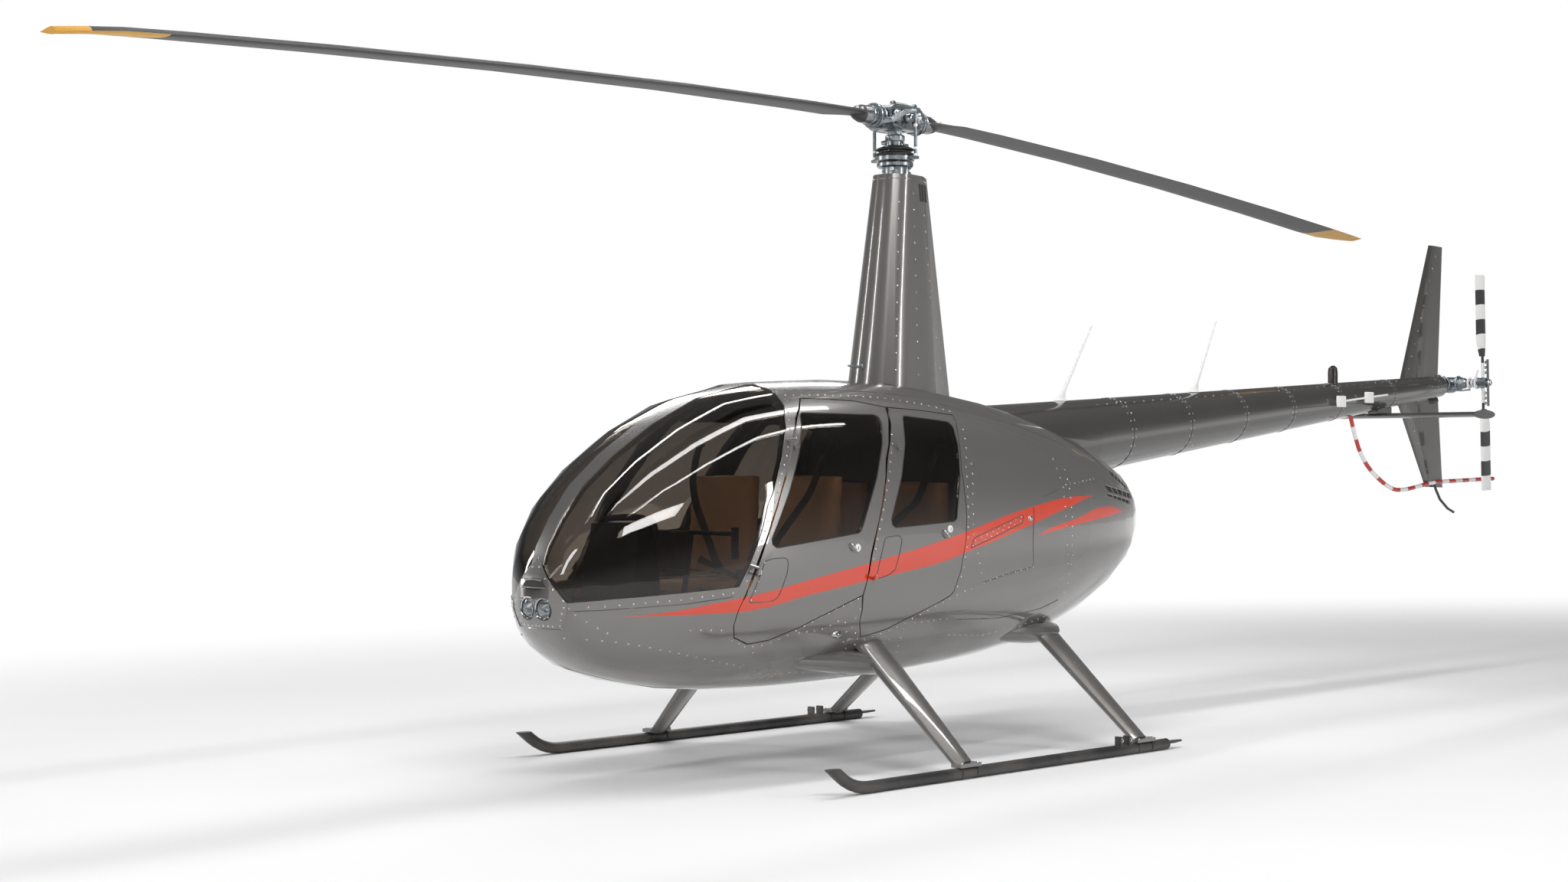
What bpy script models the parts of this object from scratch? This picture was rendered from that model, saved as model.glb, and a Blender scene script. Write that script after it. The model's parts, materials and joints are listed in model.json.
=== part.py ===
"""Four-seat light helicopter on skids, with a two-blade teetering rotor on a tall mast.

Metres. +X points out of the nose, +Y to the left side, +Z up. Lengths along X are
written from a datum 30 mm behind the mast axis and are moved by MAST_X, so that the
origin lies under the middle of the bounding box, on the ground.
"""
import math

import bmesh
import bpy
import numpy as np
from mathutils import Vector

# Place of the datum in the part's own frame, and of the mast axis ahead of the datum
MAST_X = 0.5754
ROTOR_X = 0.030

# Main rotor
ROTOR_RADIUS = 5.03
ROTOR_AZIMUTH = 0.092
ROTOR_TEETER = 0.0120
BLADE_CHORD = 0.26
BLADE_THICKNESS = 0.030
BLADE_ROOT = 0.24
BLADE_DROOP = 0.247
BLADE_PITCH = {1: -0.015, -1: 0.050}
HUB_Z = 3.297
HUB_HALF = (0.135, 0.082, 0.062)
GRIP_PROFILE = [(0.1360, 0.030), (0.148, 0.054), (0.160, 0.063), (0.186, 0.063), (0.192, 0.050),
                (0.290, 0.048), (0.335, 0.036), (0.372, 0.014)]
HORN_REACH = 0.135
MAST_RADIUS = 0.036
MAST_SIDES = 20
MAST_BOTTOM = 1.56
SHAFT_HOLE = 0.0375
MAST_TUBE_RADIUS = 0.060
SWASH_Z = 3.075
SWASH_FIXED_Z = 3.040

# Tail rotor
TAIL_HUB = (-5.665, 0.250, 2.010)
TAIL_ROTOR_RADIUS = 0.737
TAIL_BLADE_CHORD = 0.130
TAIL_ROTOR_TILT = 0.024

# Cabin body, lengthwise extent and skin
NOSE_X = 2.485
TAIL_X = -1.760
SKIN = 0.035
GLASS_IN = 0.004
GLASS_THICKNESS = 0.009
SEAT_GAP = 0.0003
DOOR_GAP = 0.005
DOOR_EDGE_LEAN = 1.5
CUT_SPACING = 0.11
CUT_OUTSIDE = 0.030
CUT_INSIDE = 0.050
CUT_FAR_Y = 1.2
CUT_NEAR_Y = 0.04
SECTION_POWER_TOP = 2.7
SECTION_POWER_BOTTOM = 2.3

# Side profile of the cabin body: (distance ahead of the mast, height)
TOP_LINE = [(2.485, 0.90), (2.462, 1.06), (2.386, 1.203), (2.293, 1.335), (2.164, 1.457),
            (1.965, 1.595), (1.693, 1.745), (1.407, 1.85), (1.1, 1.897), (0.7, 1.915),
            (0.2, 1.90), (0.0, 1.88), (-0.4, 1.82), (-0.8, 1.73), (-1.2, 1.61),
            (-1.5, 1.485), (-1.65, 1.38), (-1.74, 1.26), (-1.76, 1.18)]
BOTTOM_LINE = [(2.485, 0.90), (2.462, 0.76), (2.39, 0.65), (2.29, 0.57), (2.164, 0.515),
               (1.965, 0.465), (1.693, 0.42), (1.4, 0.402), (1.0, 0.392), (0.5, 0.40),
               (0.0, 0.425), (-0.6, 0.49), (-0.9, 0.565), (-1.2, 0.67), (-1.45, 0.80),
               (-1.65, 0.97), (-1.74, 1.10), (-1.76, 1.18)]
# Half width of the body, and the height where it is widest
HALF_WIDTH = [(2.485, 0.0), (2.462, 0.16), (2.39, 0.285), (2.29, 0.375), (2.164, 0.45),
              (1.965, 0.53), (1.693, 0.60), (1.407, 0.625), (1.1, 0.635), (0.7, 0.64),
              (0.3, 0.64), (-0.4, 0.625), (-0.8, 0.585), (-1.0, 0.55), (-1.4, 0.44),
              (-1.6, 0.34), (-1.72, 0.20), (-1.76, 0.0)]
WIDEST_LINE = [(2.485, 0.90), (2.0, 0.93), (1.5, 1.0), (1.0, 1.03), (0.0, 1.05),
               (-0.6, 1.08), (-1.2, 1.12), (-1.76, 1.18)]

# Panel outlines of the left side, seen from the side: (x from the mast, z)
FRONT_DOOR = [(1.129, 1.808), (1.245, 1.713), (1.335, 1.603), (1.474, 1.371), (1.548, 1.23),
              (1.624, 1.072), (1.69, 0.93), (1.738, 0.82), (1.751, 0.75), (1.725, 0.69),
              (1.635, 0.657), (1.513, 0.672), (1.346, 0.721), (1.21, 0.776), (0.956, 0.86),
              (0.911, 1.061), (0.871, 1.178), (0.817, 1.318), (0.754, 1.511), (0.60, 1.771),
              (0.80, 1.799)]
REAR_DOOR = [(0.582, 1.771), (0.745, 1.509), (0.811, 1.316), (0.865, 1.176), (0.905, 1.059),
             (0.950, 0.858), (0.935, 0.73), (0.893, 0.650), (0.72, 0.683), (0.516, 0.755),
             (0.314, 0.828), (0.289, 0.847), (0.245, 0.991), (0.216, 1.10), (0.206, 1.281),
             (0.212, 1.443), (0.176, 1.586), (0.11, 1.736), (0.365, 1.758)]
# Where the two doors' outlines join into the outline of the whole doorway
FRONT_DOOR_CORNER = 15
REAR_DOOR_SILL = 6
FRONT_DOOR_TOP = 19
FRONT_WINDOW = [(1.205, 1.740), (0.672, 1.732), (0.985, 1.160), (1.590, 1.096)]
REAR_WINDOW = [(0.519, 1.730), (0.158, 1.697), (0.285, 1.200), (0.787, 1.176)]
WINDOW_CORNER = 0.034
WINDSHIELD_SIDE = [(2.70, 0.872), (2.443, 0.872), (2.316, 0.889), (2.069, 0.907), (1.745, 0.929),
                   (1.693, 1.008), (1.599, 1.205), (1.563, 1.302), (1.407, 1.561),
                   (1.315, 1.694), (1.248, 1.788), (1.217, 1.842), (1.19, 1.90), (1.17, 2.05),
                   (2.70, 2.05)]
# Centre post: half its width at the height of the sill, and how fast it widens upwards
CENTRE_POST_HALF = 0.030
CENTRE_POST_SPREAD = 0.037
SILL_Z = 0.90
NOSE_PANEL_HALF = 0.190
NOSE_PANEL_CORNER_Z = 0.869
NOSE_PANEL_TOP_Z = 1.078

# Door hinges: two places (x, z) on each door's axis, and the axis's distance off the skin
FRONT_HINGES = [(1.346, 1.587), (1.660, 1.002)]
REAR_HINGES = [(0.657, 1.580), (0.908, 0.954)]
HINGE_STAND_OFF = 0.026
HINGE_RADIUS = 0.0075
HINGE_KNUCKLE = 0.024
HINGE_FOOT = 0.030
HINGE_SUNK = 0.012
LATCH_Z = 1.20
REAR_LATCH_X = 0.2115

# Lines between the fixed panels
TUB_TOP = [(2.70, 0.8715), (2.443, 0.8715), (2.316, 0.8885), (2.069, 0.9065), (1.745, 0.9285),
           (1.60, 0.930)]
SIDE_SEAM = [(0.300, 0.833), (0.123, 0.878), (-0.336, 0.935), (-0.67, 0.960)]
CREST = [(0.090, 1.741), (-0.376, 1.634), (-0.639, 1.554), (-1.108, 1.42), (-1.484, 1.335)]
COWL_SPLIT_X = -0.67
ROOF_FRONT_X = 1.105
CROWN_TOP = 2.3
KEEL_BOTTOM = 0.2

# Tail
CONE = [(-1.462, 1.624, 0.217), (-5.500, 1.986, 0.073)]
CONE_WALL = 0.008
# Sections of the fairing over the cone's root: (x, radius, centre height, width share)
CONE_FAIRING = [(-0.30, 0.205, 1.575, 1.0), (-0.60, 0.212, 1.585, 1.04), (-1.00, 0.217, 1.600, 1.04),
                (-1.4617, 0.218, 1.6235, 1.0)]
FIN_THICKNESS = 0.034
UPPER_FIN = [(-4.989, 1.990), (-5.385, 2.951), (-5.566, 2.948), (-5.491, 1.990)]
LOWER_FIN = [(-4.931, 1.930), (-5.322, 1.300), (-5.553, 1.293), (-5.496, 1.930)]
STABILIZER_CENTRE = (-4.750, 1.778)
STABILIZER_CHORD = 0.250
STABILIZER_HALF_SPAN = 0.760
GUARD_ROUTE = [(-4.381, 1.790), (-4.485, 1.566), (-4.632, 1.416), (-4.838, 1.306), (-4.990, 1.284),
               (-5.224, 1.310), (-5.422, 1.331), (-5.828, 1.341), (-6.206, 1.348)]
GUARD_RADIUS = 0.014

# Mast fairing
FAIRING_BASE = (0.350, -0.395, 0.180, 1.74)
FAIRING_TOP = (0.150, -0.200, 0.112, 3.000)
FAIRING_WALL = 0.008

# Landing gear
SKID_Y = 1.090
SKID_RADIUS = 0.0285
SKID_FRONT_X = 1.735
SKID_REAR_X = -0.84
# Front and rear strut: place of the foot, its lean (x, y) per unit of height, top height
STRUTS = {"front": (0.747, 0.080, -1.045, 0.590), "rear": (-0.635, -0.020, -1.200, 0.640)}
STRUT_FOOT_Y = 1.065
SKID_TIP_Z = 0.128

# Belly fairings over the strut roots: (x, outer half width, centre height, half height)
STRUT_FAIRING = {
    "front": [(1.40, 0.40, 0.560, 0.020), (1.20, 0.47, 0.555, 0.050), (1.00, 0.545, 0.540, 0.062),
              (0.86, 0.60, 0.525, 0.066), (0.74, 0.61, 0.515, 0.064), (0.66, 0.56, 0.510, 0.055),
              (0.58, 0.44, 0.510, 0.030)],
    "rear": [(0.02, 0.33, 0.620, 0.020), (-0.20, 0.40, 0.610, 0.045), (-0.42, 0.46, 0.600, 0.060),
             (-0.56, 0.50, 0.590, 0.064), (-0.70, 0.50, 0.585, 0.060), (-0.80, 0.43, 0.590, 0.045),
             (-0.88, 0.33, 0.600, 0.020)],
}
STRUT_FAIRING_INNER_Y = 0.22

# Cabin
LAMP_PLACE = (0.055, 0.842, 0.047)
FLOOR_Z = 0.560
FIREWALL_X = 0.130

COLOURS = {
    "body": (0.155, 0.145, 0.137, 0.35, 0.55),
    "dark": (0.02, 0.02, 0.022, 0.4, 0.0),
    "metal": (0.55, 0.56, 0.58, 0.3, 1.0),
    "glass": (0.05, 0.045, 0.04, 0.05, 0.0),
    "leather": (0.42, 0.25, 0.14, 0.5, 0.0),
    "white": (0.8, 0.8, 0.8, 0.35, 0.0),
    "blade": (0.085, 0.085, 0.088, 0.55, 0.0),
    "black": (0.015, 0.015, 0.015, 0.6, 0.0),
    "lamp": (0.75, 0.78, 0.8, 0.1, 0.3),
}


def spline(points):
    """Monotone cubic curve through (x, value) points, smooth at the blunt nose.

    It runs on the square root of the distance from the nose, where the round nose
    is a straight start."""
    data = sorted((math.sqrt(max(NOSE_X - x, 0.0)), value) for x, value in points)
    u = np.array([row[0] for row in data])
    v = np.array([row[1] for row in data])
    width = np.diff(u)
    slope = np.diff(v) / width
    tangent = np.zeros(len(u))
    for i in range(1, len(u) - 1):
        if slope[i - 1] * slope[i] > 0:
            a = 2 * width[i] + width[i - 1]
            b = width[i] + 2 * width[i - 1]
            tangent[i] = (a + b) / (a / slope[i - 1] + b / slope[i])
    tangent[0] = slope[0]
    tangent[-1] = slope[-1]

    def value(x):
        at = math.sqrt(max(NOSE_X - x, 0.0))
        i = int(np.clip(np.searchsorted(u, at) - 1, 0, len(width) - 1))
        s = (at - u[i]) / width[i]
        h00 = 2 * s**3 - 3 * s**2 + 1
        h10 = s**3 - 2 * s**2 + s
        h01 = 3 * s**2 - 2 * s**3
        h11 = s**3 - s**2
        return (h00 * v[i] + h10 * width[i] * tangent[i]
                + h01 * v[i + 1] + h11 * width[i] * tangent[i + 1])
    return value


top_z = spline(TOP_LINE)
bottom_z = spline(BOTTOM_LINE)
half_width = spline(HALF_WIDTH)
widest_z = spline(WIDEST_LINE)


def body_level(point):
    """Below zero inside the cabin body and above zero outside; x from the mast."""
    x, y, z = point
    middle = widest_z(x)
    if z > middle:
        power, height = SECTION_POWER_TOP, top_z(x) - middle
    else:
        power, height = SECTION_POWER_BOTTOM, middle - bottom_z(x)
    across = abs(y) / max(half_width(x), 1e-5)
    up = abs(z - middle) / max(height, 1e-5)
    return across**power + up**power - 1.0


def body_normal(point, step=0.002):
    """Outward normal of the cabin body at a point on it."""
    grad = []
    for axis in range(3):
        ahead, behind = list(point), list(point)
        ahead[axis] += step
        behind[axis] -= step
        grad.append(body_level(ahead) - body_level(behind))
    return Vector(grad).normalized()


def body_y(x, z):
    """Half width of the body at a place in its side view."""
    middle = widest_z(x)
    if z > middle:
        power, height = SECTION_POWER_TOP, top_z(x) - middle
    else:
        power, height = SECTION_POWER_BOTTOM, middle - bottom_z(x)
    up = min(abs(z - middle) / max(height, 1e-5), 0.9995)
    return half_width(x) * (1.0 - up**power) ** (1.0 / power)


def body_point(x, turn):
    """Point of the body's section at x; turn runs from the crown over the left side."""
    c, s = math.cos(turn), math.sin(turn)
    middle = widest_z(x)
    if c > 0:
        power, height = SECTION_POWER_TOP, top_z(x) - middle
    else:
        power, height = SECTION_POWER_BOTTOM, middle - bottom_z(x)
    y = half_width(x) * math.copysign(abs(s) ** (2.0 / power), s)
    z = middle + height * math.copysign(abs(c) ** (2.0 / power), c)
    return x, y, z


def body_stations():
    """Places of the sections, close together at the round nose and tail."""
    nose = [NOSE_X - u * u for u in (0.10, 0.22, 0.36, 0.50, 0.66, 0.82, 0.98, 1.14)]
    middle = list(np.linspace(1.0, -1.1, 9))
    tail = [TAIL_X + v * v for v in (0.66, 0.52, 0.38, 0.25, 0.12)]
    return nose + middle + tail


def material(name):
    made = bpy.data.materials.get(name)
    if made:
        return made
    red, green, blue, roughness, metallic = COLOURS[name.split(".")[0]]
    made = bpy.data.materials.new(name)
    made.use_nodes = True
    made.diffuse_color = (red, green, blue, 1.0)
    shader = made.node_tree.nodes["Principled BSDF"]
    shader.inputs["Base Color"].default_value = (red, green, blue, 1.0)
    shader.inputs["Roughness"].default_value = roughness
    shader.inputs["Metallic"].default_value = metallic
    return made


def mesh_object(name, verts, faces, colour="body"):
    """New object from points and faces, its faces turned outwards; x from the mast."""
    mesh = bpy.data.meshes.new(name)
    mesh.from_pydata([(x + MAST_X, y, z) for x, y, z in verts], [], faces)
    work = bmesh.new()
    work.from_mesh(mesh)
    bmesh.ops.recalc_face_normals(work, faces=work.faces)
    work.to_mesh(mesh)
    work.free()
    made = bpy.data.objects.new(name, mesh)
    bpy.context.scene.collection.objects.link(made)
    if colour:
        mesh.materials.append(material(colour + "." + name))
    return made


def cutter(made):
    made.hide_render = True
    made.display_type = "WIRE"
    return made


def boolean(target, tool, operation):
    step = target.modifiers.new(operation.lower(), "BOOLEAN")
    step.object = tool
    step.operation = operation
    step.solver = "EXACT"
    return target


def rings_mesh(name, rings, colour="body", split=False):
    """Skin over equal rings of points, with a flat face over each end."""
    size = len(rings[0])
    verts = [tuple(point) for ring in rings for point in ring]
    faces = []
    for row in range(len(rings) - 1):
        for i in range(size):
            j = (i + 1) % size
            a, b = row * size + i, row * size + j
            if split:
                faces += [(a, b, b + size), (a, b + size, a + size)]
            else:
                faces.append((a, b, b + size, a + size))
    faces.append(tuple(range(size)))
    last = (len(rings) - 1) * size
    faces.append(tuple(last + i for i in range(size)))
    return mesh_object(name, verts, faces, colour)


def box(name, low, high, colour="body"):
    rings = [[(low[0], low[1], z), (high[0], low[1], z), (high[0], high[1], z), (low[0], high[1], z)]
             for z in (low[2], high[2])]
    return rings_mesh(name, rings, colour)


def prism(name, outline, low_y, high_y, colour=None):
    """Side-view outline of (x, z) points pulled out along Y."""
    rings = [[(x, y, z) for x, z in outline] for y in (low_y, high_y)]
    return rings_mesh(name, rings, colour)


def tube(name, route, radius, colour="metal", sides=10, flat=1.0):
    """Round bar along a route of points; flat squeezes it across the route's plane."""
    points = [Vector(point) for point in route]
    radii = radius if isinstance(radius, (list, tuple)) else [radius] * len(points)
    side = None
    rings = []
    for i, point in enumerate(points):
        before = points[max(i - 1, 0)]
        after = points[min(i + 1, len(points) - 1)]
        along = (after - before).normalized()
        if side is None:
            side = along.cross(Vector((0.0, 1.0, 0.0)))
            if side.length < 0.1:
                side = along.cross(Vector((1.0, 0.0, 0.0)))
        side = (side - along * side.dot(along)).normalized()
        other = along.cross(side)
        ring = []
        for k in range(sides):
            turn = 2 * math.pi * k / sides
            ring.append(point + side * math.cos(turn) * radii[i] + other * math.sin(turn) * radii[i] * flat)
        rings.append(ring)
    return rings_mesh(name, rings, colour)


def rod(name, start, end, radius, colour="metal", sides=12):
    return tube(name, [start, end], radius, colour, sides)


def turned(name, profile, centre, colour="metal", sides=20):
    """Solid turned about a vertical axis: profile is (radius, z) from bottom to top.

    A profile that returns to its start makes a ring with a hole through it."""
    cx, cy = centre
    looped = profile[0] == profile[-1]
    outline = profile[:-1] if looped else profile
    rings = []
    for radius, z in outline:
        rings.append([(cx + radius * math.cos(2 * math.pi * k / sides),
                       cy + radius * math.sin(2 * math.pi * k / sides), z) for k in range(sides)])
    if not looped:
        return rings_mesh(name, rings, colour)
    verts = [point for ring in rings for point in ring]
    faces = []
    rows = len(rings)
    for row in range(rows):
        for k in range(sides):
            a = row * sides + k
            b = row * sides + (k + 1) % sides
            c = ((row + 1) % rows) * sides + (k + 1) % sides
            d = ((row + 1) % rows) * sides + k
            faces.append((a, b, c, d))
    return mesh_object(name, verts, faces, colour)


def joined(name, pieces, colour):
    """One object from pieces that overlap, united so that they are one closed body."""
    first = pieces[0]
    first.name = name
    first.data.name = name
    first.data.materials.clear()
    first.data.materials.append(material(colour + "." + name))
    for piece in pieces[1:]:
        boolean(first, cutter(piece), "UNION")
    return first


def rounded(points, radius, steps=4):
    """Polygon with each corner replaced by an arc."""
    out = []
    count = len(points)
    for i in range(count):
        corner = Vector(points[i])
        to_last = Vector(points[i - 1]) - corner
        to_next = Vector(points[(i + 1) % count]) - corner
        half = to_last.angle(to_next) / 2
        reach = radius / math.tan(half)
        start = corner + to_last.normalized() * reach
        end = corner + to_next.normalized() * reach
        middle = corner + (to_last.normalized() + to_next.normalized()).normalized() * radius / math.sin(half)
        for k in range(steps + 1):
            mix = start.lerp(end, k / steps) - middle
            out.append(tuple(middle + mix.normalized() * radius))
    return out


def grown(points, distance):
    """Polygon moved outwards by a distance, sharp corners kept."""
    count = len(points)
    area = sum(points[i - 1][0] * points[i][1] - points[i][0] * points[i - 1][1] for i in range(count))
    sign = 1.0 if area > 0 else -1.0
    out = []
    for i in range(count):
        here = Vector(points[i])
        before = (here - Vector(points[i - 1])).normalized()
        after = (Vector(points[(i + 1) % count]) - here).normalized()
        normal_a = Vector((before.y, -before.x)) * sign
        normal_b = Vector((after.y, -after.x)) * sign
        middle = (normal_a + normal_b).normalized()
        out.append(tuple(here + middle * distance / max(middle.dot(normal_a), 0.3)))
    return out


def body_shell(name, outside, inside):
    """Closed skin of the cabin body between two depths below its surface."""
    turns = 28
    verts, faces = [], []
    for depth in (outside, inside):
        start = len(verts)
        verts.append((NOSE_X - depth, 0.0, TOP_LINE[0][1]))
        stations = body_stations()
        for x in stations:
            for k in range(turns):
                point = Vector(body_point(x, 2 * math.pi * (k + 0.5) / turns))
                verts.append(tuple(point - body_normal(point) * depth))
        verts.append((TAIL_X + depth, 0.0, TOP_LINE[-1][1]))
        ring = start + 1
        last = ring + (len(stations) - 1) * turns
        for k in range(turns):
            j = (k + 1) % turns
            faces.append((start, ring + j, ring + k))
            faces.append((last + k, last + j, len(verts) - 1))
        for row in range(len(stations) - 1):
            for k in range(turns):
                j = (k + 1) % turns
                a, b = ring + row * turns + k, ring + row * turns + j
                faces.append((a, b, b + turns, a + turns))
    half = len(faces) // 2
    outer, inner = faces[:half], [tuple(reversed(face)) for face in faces[half:]]
    mesh = bpy.data.meshes.new(name)
    mesh.from_pydata([(x + MAST_X, y, z) for x, y, z in verts], [], outer + inner)
    mesh.update()
    return mesh


def body_solid(name, clearance):
    """Cutter of the whole cabin body, a clearance larger all round."""
    turns = 28
    verts, faces = [(NOSE_X + clearance, 0.0, TOP_LINE[0][1])], []
    stations = body_stations()
    for x in stations:
        for k in range(turns):
            point = Vector(body_point(x, 2 * math.pi * (k + 0.5) / turns))
            verts.append(tuple(point + body_normal(point) * clearance))
    verts.append((TAIL_X - clearance, 0.0, TOP_LINE[-1][1]))
    last = 1 + (len(stations) - 1) * turns
    for k in range(turns):
        j = (k + 1) % turns
        faces.append((0, 1 + j, 1 + k))
        faces.append((last + k, last + j, len(verts) - 1))
    for row in range(len(stations) - 1):
        for k in range(turns):
            j = (k + 1) % turns
            a, b = 1 + row * turns + k, 1 + row * turns + j
            faces.append((a, b, b + turns, a + turns))
    return cutter(mesh_object(name, verts, faces, None))


def dense(points, spacing):
    """Polygon with extra points, so that no side is longer than the spacing."""
    out = []
    for i, point in enumerate(points):
        start, end = Vector(point), Vector(points[(i + 1) % len(points)])
        count = max(1, math.ceil((end - start).length / spacing))
        out += [tuple(start.lerp(end, k / count)) for k in range(count)]
    return out


def skin_cutter(name, outline, side, lean=0.0):
    """Closed cutter over a side-view outline, its walls square to the skin.

    With a lean, the walls that face forwards slope back as they go inwards."""
    rings = [[], [], [], [], []]
    points = dense(outline, CUT_SPACING)
    ahead = grown(points, 1.0)
    for (x, z), (far_x, far_z) in zip(points, ahead):
        y = body_y(x, z)
        point = Vector((x, y, z))
        normal = body_normal(point)
        forward = Vector((far_x - x, 0.0, far_z - z)).normalized()
        slope = forward * lean * min(max(forward.x * 2.0, 0.0), 1.0) * min(max((z - 0.84) / 0.12, 0.0), 1.0)
        outer = point + normal * CUT_OUTSIDE
        inner = point - normal * CUT_INSIDE - slope * CUT_INSIDE
        rings[0].append((outer.x, CUT_FAR_Y * side, outer.z))
        rings[1].append((outer.x, outer.y * side, outer.z))
        rings[2].append((point.x, point.y * side, point.z))
        rings[3].append((inner.x, inner.y * side, inner.z))
        rings[4].append((inner.x, CUT_NEAR_Y * side, inner.z))
    return cutter(rings_mesh(name, rings, None, split=True))


def shell_panel(name, mesh, colour="body"):
    """Object that shares a skin mesh, to be cut down to one panel."""
    made = bpy.data.objects.new(name, mesh.copy())
    made.data.name = name
    made.data.materials.clear()
    made.data.materials.append(material(colour + "." + name))
    bpy.context.scene.collection.objects.link(made)
    return made


def baked(made):
    """Mesh of an object with its modifiers applied; the object itself is removed."""
    bpy.context.view_layer.update()
    graph = bpy.context.evaluated_depsgraph_get()
    mesh = bpy.data.meshes.new_from_object(made.evaluated_get(graph))
    bpy.data.objects.remove(made, do_unlink=True)
    return mesh


def side_name(side):
    return "left" if side > 0 else "right"


def latch_bolt(side):
    """Bolt in a rear door's rear edge, which reaches the frame behind it."""
    x = REAR_LATCH_X
    y = body_y(x, LATCH_Z)
    low, high = sorted(((y - 0.028) * side, (y - 0.010) * side))
    return box("latch_bolt", (x - DOOR_GAP + SEAT_GAP * 2, low, LATCH_Z - 0.015),
               (x + 0.03, high, LATCH_Z + 0.015), None)


def landing_lights():
    """Two round lamps in the nose; returns the cutters of their holes through the skin."""
    y, z, radius = LAMP_PLACE
    holes = []
    for side in (1, -1):
        holes.append(cutter(rod("cut_lamp", (2.20, y * side, z), (2.60, y * side, z), radius, None, 18)))
        lamp = rod(f"landing_light_{side_name(side)}", (2.405, y * side, z), (2.60, y * side, z),
                   radius - SEAT_GAP, "lamp", 18)
        boolean(lamp, body_solid(f"cut_body_for_lamp_{side_name(side)}", -0.003), "INTERSECT")
    return holes


def screen_cutter(name, outline, clearance, side):
    """Cutter over one half of the windshield, up to the centre post that widens upwards."""
    inner = [(x, side * (CENTRE_POST_HALF + CENTRE_POST_SPREAD * (z - SILL_Z) + clearance), z) for x,
             z in outline]
    outer = [(x, side, z) for x, z in outline]
    half, low, high = NOSE_PANEL_HALF + clearance, NOSE_PANEL_CORNER_Z, NOSE_PANEL_TOP_Z + clearance * 1.5
    peak = [(-half, low - 0.1), (-half, low), (0.0, high), (half, low), (half, low - 0.1)]
    rings = [[(x, y, z) for y, z in peak] for x in (2.0, 2.8)]
    screen = cutter(rings_mesh(name, [inner, outer], None))
    return boolean(screen, cutter(rings_mesh(name + "_peak", rings, None)), "DIFFERENCE")


def hinge_point(place):
    """Point on a door's hinge axis, off the left skin."""
    x, z = place
    on_skin = Vector((x, body_y(x, z), z))
    return on_skin + body_normal(on_skin) * HINGE_STAND_OFF


def hinge_halves(places, side):
    """Knuckles of one door: those on the door, and those on the frame ahead of it."""
    top, bottom = hinge_point(places[0]), hinge_point(places[1])
    along = (top - bottom).normalized()
    on_door, on_frame = [], []
    for (x, z), middle in zip(places, (top, bottom)):
        out = body_normal((x, body_y(x, z), z))
        ahead = along.cross(out).normalized()
        ahead *= math.copysign(1.0, ahead.x)
        for sign, halves in ((-1, on_door), (1, on_frame)):
            near = middle + along * (SEAT_GAP if sign > 0 else 0.0)
            far = middle + along * HINGE_KNUCKLE * sign
            root = (near + far) / 2
            foot = root + ahead * HINGE_FOOT * sign - out * (HINGE_STAND_OFF + HINGE_SUNK)
            for start, end in ((near, far), (root, foot)):
                ends = [(point.x, point.y * side, point.z) for point in (start, end)]
                halves.append(rod("knuckle", ends[0], ends[1], HINGE_RADIUS, None, 8))
    return on_door, on_frame


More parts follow.
